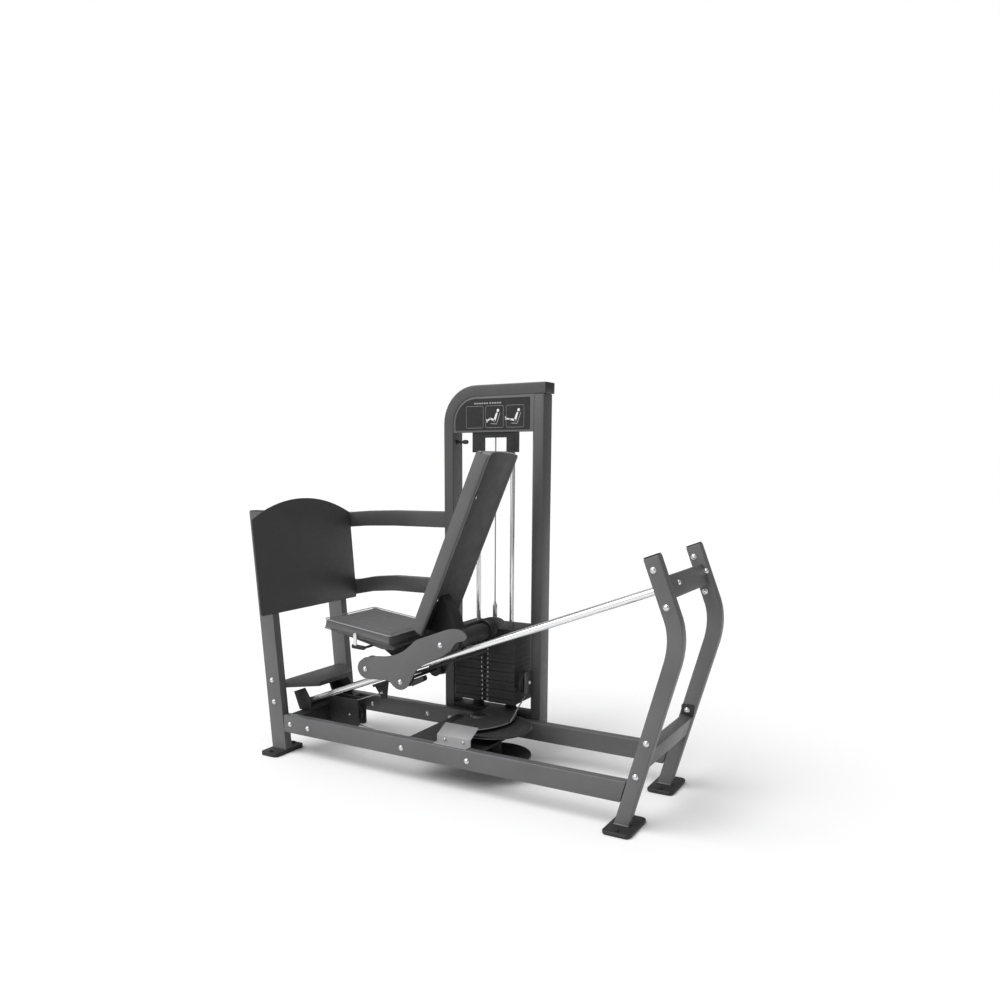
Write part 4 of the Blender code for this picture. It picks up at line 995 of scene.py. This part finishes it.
def makePads():
    swellPad("seat_pad", seatDown)
    paintBackrest(swellPad("backrest_pad", backOut), False)
    for name, side in (("near_backrest_side", -1), ("far_backrest_side", 1)):
        middle = backBase + backUp * 0.400 + backOut * 0.0335 + Vector((0, side * 0.1199, 0))
        panel = sheetShape(roundLoop(middle, backUp, backOut, 0.3900, 0.0255, 0.006, 4), Vector((0, side * 0.0016, 0)))
        softenEdges(panel, 0.0010, 2, 30)
        finishPiece(panel, name, vinyl, "carriage")
    seatFront = at(-0.5900, 0, 0.6190)
    middle = seatFront + seatRun * 0.1773
    # the top bead gets the pale bead vinyl as a painted highlight; the lower bead keeps the plain vinyl
    bead = tubeAlong(roundLoop(middle + seatDown * 0.0030, seatRun, Vector((0, 1, 0)), 0.1752, 0.1779, 0.015), 0.0021, True)
    finishPiece(bead, "seat_top_bead", highlightBeadVinyl, "carriage")
    bead = tubeAlong(roundLoop(middle + seatDown * 0.0425, seatRun, Vector((0, 1, 0)), 0.1752, 0.1779, 0.015), 0.0018, True)
    finishPiece(bead, "seat_lower_bead", vinyl, "carriage")


makePads()
print("leg press: pads made")


# ---------------------------------------------------------------- cables
cableLooks = {"radius": 0.0029, "wheelReach": 0.0491, "upperReach": 0.0430}


def turnPoints(centre, u, v, radius, start, end, count):
    points = []
    for i in range(count + 1):
        turn = math.radians(start + (end - start) * i / count)
        points.append(Vector(centre) + (Vector(u) * math.cos(turn) + Vector(v) * math.sin(turn)) * radius)
    return points


def straightPoints(start, end, count):
    return [Vector(start).lerp(Vector(end), i / count) for i in range(count + 1)]


def makeCables():
    radius = cableLooks["radius"]
    reach = cableLooks["wheelReach"]
    centre = at(-0.584, 0, 0.153)
    contact = centre + above * reach
    pull = tubeAlong(straightPoints(contact + along * 0.012, contact + along * 0.1905, 24), radius, False)
    finishPiece(pull, "press_cable_pull", rope, "frame")
    pull.parent = None
    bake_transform(pull)
    route = [contact + along * 0.0125, contact]
    route += turnPoints(centre, (1, 0, 0), (0, 0, 1), reach, 90 + 21.15, 270, 28)[1:]
    route.append(at(0.1367, -0.1428, 0.0870))
    run = tubeAlong(route, radius, False)
    finishPiece(run, "press_cable_run", rope, "frame")
    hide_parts("press_cable")
    wrap = tubeAlong(turnPoints(at(0.165, 0, 0.0870), (1, 0, 0), (0, 1, 0), 0.1412, 259, 478, 90), 0.0026, False)
    finishPiece(wrap, "drum_cable_wrap", rope, "drum")
    wrap = tubeAlong(turnPoints(at(-0.054, 0.068, 0.2120), (1, 0, 0), (0, 1, 0), 0.2440, -2, -60, 60), 0.0026, False)
    finishPiece(wrap, "cam_cable_wrap", rope, "cam")
    wrap = tubeAlong(turnPoints(at(0.120, 0.040, 0.1910), (1, 0, 0), (0, 1, 0), 0.1646, 20, 240, 80), 0.0026, False)
    finishPiece(wrap, "cam_lower_wrap", rope, "cam")
    top = 0.245 + 15 * 0.0203 + 0.0850
    upper = cableLooks["upperReach"]
    lift = tubeAlong(straightPoints(at(-0.006, 0.285, top - 0.004), at(-0.006, 0.285, 1.400), 40), radius, False)
    finishPiece(lift, "stack_cable_lift", rope, "frame")
    lift.parent = None
    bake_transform(lift)
    route = [at(-0.006, 0.285, 1.399)]
    route += turnPoints(at(-0.006 + upper, 0.285, 1.46), (1, 0, 0), (0, 0, 1), upper, 180, 90, 16)
    route += turnPoints(at(0.174 - upper, 0.285, 1.46), (1, 0, 0), (0, 0, 1), upper, 90, 0, 16)
    route += turnPoints(at(0.174, 0.285 - 0.0487, 0.345), (0, 1, 0), (0, 0, 1), 0.0487, 0, -66, 14)
    route.append(at(0.1936, 0.062, 0.2125))
    run = tubeAlong(route, radius, False)
    finishPiece(run, "stack_cable_run", rope, "frame")
    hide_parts("stack_cable")


def makeCableEnds():
    top = 0.245 + 15 * 0.0203
    profile = [
        (0.0, top + 0.0600), (0.0096, top + 0.0600), (0.0102, top + 0.0620), (0.0102, top + 0.1080), (0.0085, top + 0.1120),
        (0.0055, top + 0.1180), (0.0045, top + 0.1260), (0.0, top + 0.1260),
    ]
    piece = ringShape(profile, at(-0.006, 0.285, 0), (0, 0, 1), 32)
    finishPiece(piece, "stack_cable_end", zinc, "lifted_stack")
    contact = at(-0.584, 0, 0.153) + above * cableLooks["wheelReach"]
    profile = [(0.0, 0.1830), (0.0040, 0.1830), (0.0055, 0.1850), (0.0070, 0.1880), (0.0070, 0.2030), (0.0, 0.2030)]
    piece = ringShape(profile, contact, along, 28)
    finishPiece(piece, "press_cable_end", zinc, "trolley")


makeCables()
makeCableEnds()
print("leg press: cables made")


# ---------------------------------------------------------------- carriage details
def makeLever():
    bar = barShape(at(-0.378, -0.0404, 0.510), at(-0.378, -0.1810, 0.510), 0.0055, 28, 0.0008)
    finishPiece(bar, "seat_lever_bar", boltSteel, "lever")
    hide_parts("seat_release_lever")
    corners = [(-0.4370, 0.5050), (-0.4330, 0.5035), (-0.3760, 0.5015), (-0.3700, 0.5040), (-0.3685, 0.5130),
               (-0.3720, 0.5190), (-0.4300, 0.5225), (-0.4360, 0.5210), (-0.4385, 0.5130)]
    grip = sheetShape([at(x, -0.1750, z) for x, z in corners], Vector((0, -0.0100, 0)))
    softenEdges(grip, 0.0028, 4, 30)
    finishPiece(grip, "seat_lever_grip", gripRubber, "lever")
    catch = sheetShape([at(x, -0.1822, z) for x, z in ((-0.4260, 0.5180), (-0.4100, 0.5180), (-0.4080, 0.5640), (-0.4110, 0.5700), (-0.4230, 0.5700), (-0.4260, 0.5640))],
                       Vector((0, -0.0050, 0)))
    softenEdges(catch, 0.0016, 3, 30)
    finishPiece(catch, "seat_lever_catch", boltSteel, "lever")


def makeLatchBlock():
    """black housing behind the lower lobe of the near side plate"""
    corners = [onRail(t, s, -0.1547) for t, s in ((-0.190, -0.072), (-0.128, -0.066), (-0.120, -0.058), (-0.122, -0.044), (-0.190, -0.046))]
    block = sheetShape(corners, Vector((0, 0.0300, 0)))
    softenEdges(block, 0.0020, 3, 30)
    finishPiece(block, "travel_latch_block", blackCoat, "carriage")


def makeBackrestTabs():
    """two screwed lugs in the hollow back of the backrest"""
    for i, (up, y) in enumerate(((0.619, -0.084), (0.163, -0.088))):
        slant = math.asin(-y / 0.224)
        across = Vector((0, math.cos(slant), 0)) - backOut * math.sin(slant)
        outward = backOut * math.cos(slant) + Vector((0, math.sin(slant), 0))
        centre = backBase + backUp * up + backOut * (0.034 + 0.224 * (1 - math.cos(slant))) + Vector((0, y, 0))
        corners = roundLoop(centre, backUp, across, 0.0180, 0.0130, 0.005, 3)
        tab = sheetShape(corners, outward * 0.0050)
        softenEdges(tab, 0.0010, 2, 30)
        finishPiece(tab, "backrest_tab_%d" % (i + 1), trimPlastic, "carriage")
        head = ringShape([(0.0, 0.0048), (0.0070, 0.0048), (0.0070, 0.0066), (0.0055, 0.0084), (0.0, 0.0090)], centre, outward, 28)
        finishPiece(head, "backrest_screw_%d" % (i + 1), boltSteel, "carriage")


def makeGuardScrews():
    for i, x in enumerate((0.050, 0.135)):
        head = ringShape([(0.0, 0.0), (0.0058, 0.0), (0.0055, 0.0020), (0.0035, 0.0036), (0.0, 0.0042)],
                         at(x, -0.2166, 0.1945), (0, -1, 0), 24)
        finishPiece(head, "guard_screw_%d" % (i + 1), zinc, "frame")


def makeFootScrews():
    for label, x in (("front", -0.811), ("rear", 0.813)):
        for side in (-1, 1):
            for i, y in enumerate((0.158, 0.304)):
                place = at(x, side * y, 0.0160)
                head = ringShape([(0.0, 0.0001), (0.0105, 0.0001), (0.0105, 0.0018), (0.0075, 0.0020), (0.0075, 0.0070),
                                  (0.0066, 0.0078), (0.0, 0.0079)], place, (0, 0, 1), 24)
                word = "near" if side < 0 else "far"
                finishPiece(head, "%s_%s_foot_screw_%d" % (label, word, i + 1), blackCoat, "frame")


makeLever()
makeLatchBlock()
makeBackrestTabs()
makeGuardScrews()
makeFootScrews()
print("leg press: carriage details made")


# ---------------------------------------------------------------- floor, light and camera
studioLooks = {
    "bright side": (-0.70, -0.40, 0.59), "dim": 0.15, "bright": 1.05,
    "key from": (-0.36, -0.48, 0.80), "key strength": 2.15, "key angle": 48,
}


def makeStudio():
    clearSelection()
    bpy.ops.mesh.primitive_plane_add(size=60, location=(0, 0, -0.0005))
    floor = bpy.context.object
    floor.name = "studio_floor"
    finish, tree, shader, place = newFinish("studio floor", (0.92, 0.92, 0.92), 0.85)
    tone = rampOf(tree, noiseOf(tree, place, 0.4), [(0.3, (0.91, 0.91, 0.91)), (0.7, (0.93, 0.93, 0.93))])
    tree.links.new(tone, shader.inputs["Base Color"])
    floor.data.materials.append(finish)
    world = bpy.data.worlds.new("studio")
    world.use_nodes = True
    tree = world.node_tree
    backdrop = tree.nodes["Background"]
    backdrop.inputs["Color"].default_value = (1, 1, 1, 1)
    backdrop.inputs["Strength"].default_value = 1.0
    # the room is brighter over the front left shoulder and falls off to the right
    room = tree.nodes.new("ShaderNodeBackground")
    heading = tree.nodes.new("ShaderNodeTexCoord")
    lean = tree.nodes.new("ShaderNodeVectorMath")
    lean.operation = "DOT_PRODUCT"
    lean.inputs[1].default_value = studioLooks["bright side"]
    tree.links.new(heading.outputs["Generated"], lean.inputs[0])
    fall = tree.nodes.new("ShaderNodeMapRange")
    fall.inputs["From Min"].default_value = -1.0
    fall.inputs["From Max"].default_value = 1.0
    fall.inputs["To Min"].default_value = studioLooks["dim"]
    fall.inputs["To Max"].default_value = studioLooks["bright"]
    tree.links.new(lean.outputs["Value"], fall.inputs["Value"])
    tree.links.new(fall.outputs["Result"], room.inputs["Strength"])
    seen = tree.nodes.new("ShaderNodeLightPath")
    both = tree.nodes.new("ShaderNodeMixShader")
    tree.links.new(seen.outputs["Is Camera Ray"], both.inputs["Fac"])
    tree.links.new(room.outputs["Background"], both.inputs[1])
    tree.links.new(backdrop.outputs["Background"], both.inputs[2])
    tree.links.new(both.outputs["Shader"], tree.nodes["World Output"].inputs["Surface"])
    bpy.context.scene.world = world
    bpy.context.scene.view_settings.view_transform = "Standard"
    light = bpy.data.lights.new("key", "SUN")
    light.energy = studioLooks["key strength"]
    light.angle = math.radians(studioLooks["key angle"])
    lamp = bpy.data.objects.new("key", light)
    bpy.context.scene.collection.objects.link(lamp)
    lamp.rotation_euler = (-Vector(studioLooks["key from"])).to_track_quat("-Z", "Y").to_euler()


def makeCamera():
    eye = bpy.data.cameras.new("main_camera")
    eye.sensor_width = 36
    eye.lens = 31.15
    eye.shift_x = 0.0334
    eye.shift_y = 0.1122
    eye.clip_end = 100
    camera = bpy.data.objects.new("main_camera", eye)
    bpy.context.scene.collection.objects.link(camera)
    turn = Matrix.Rotation(math.radians(31.273), 4, "Z") @ Matrix.Rotation(math.radians(90 - 9.8385), 4, "X")
    turn = turn @ Matrix.Rotation(math.radians(-0.09), 4, "Z")
    camera.matrix_world = Matrix.Translation(at(1.83814, -2.99297, 1.27869)) @ turn
    bpy.context.scene.camera = camera


makeStudio()
makeCamera()
clearSelection()
print("leg press: studio ready")
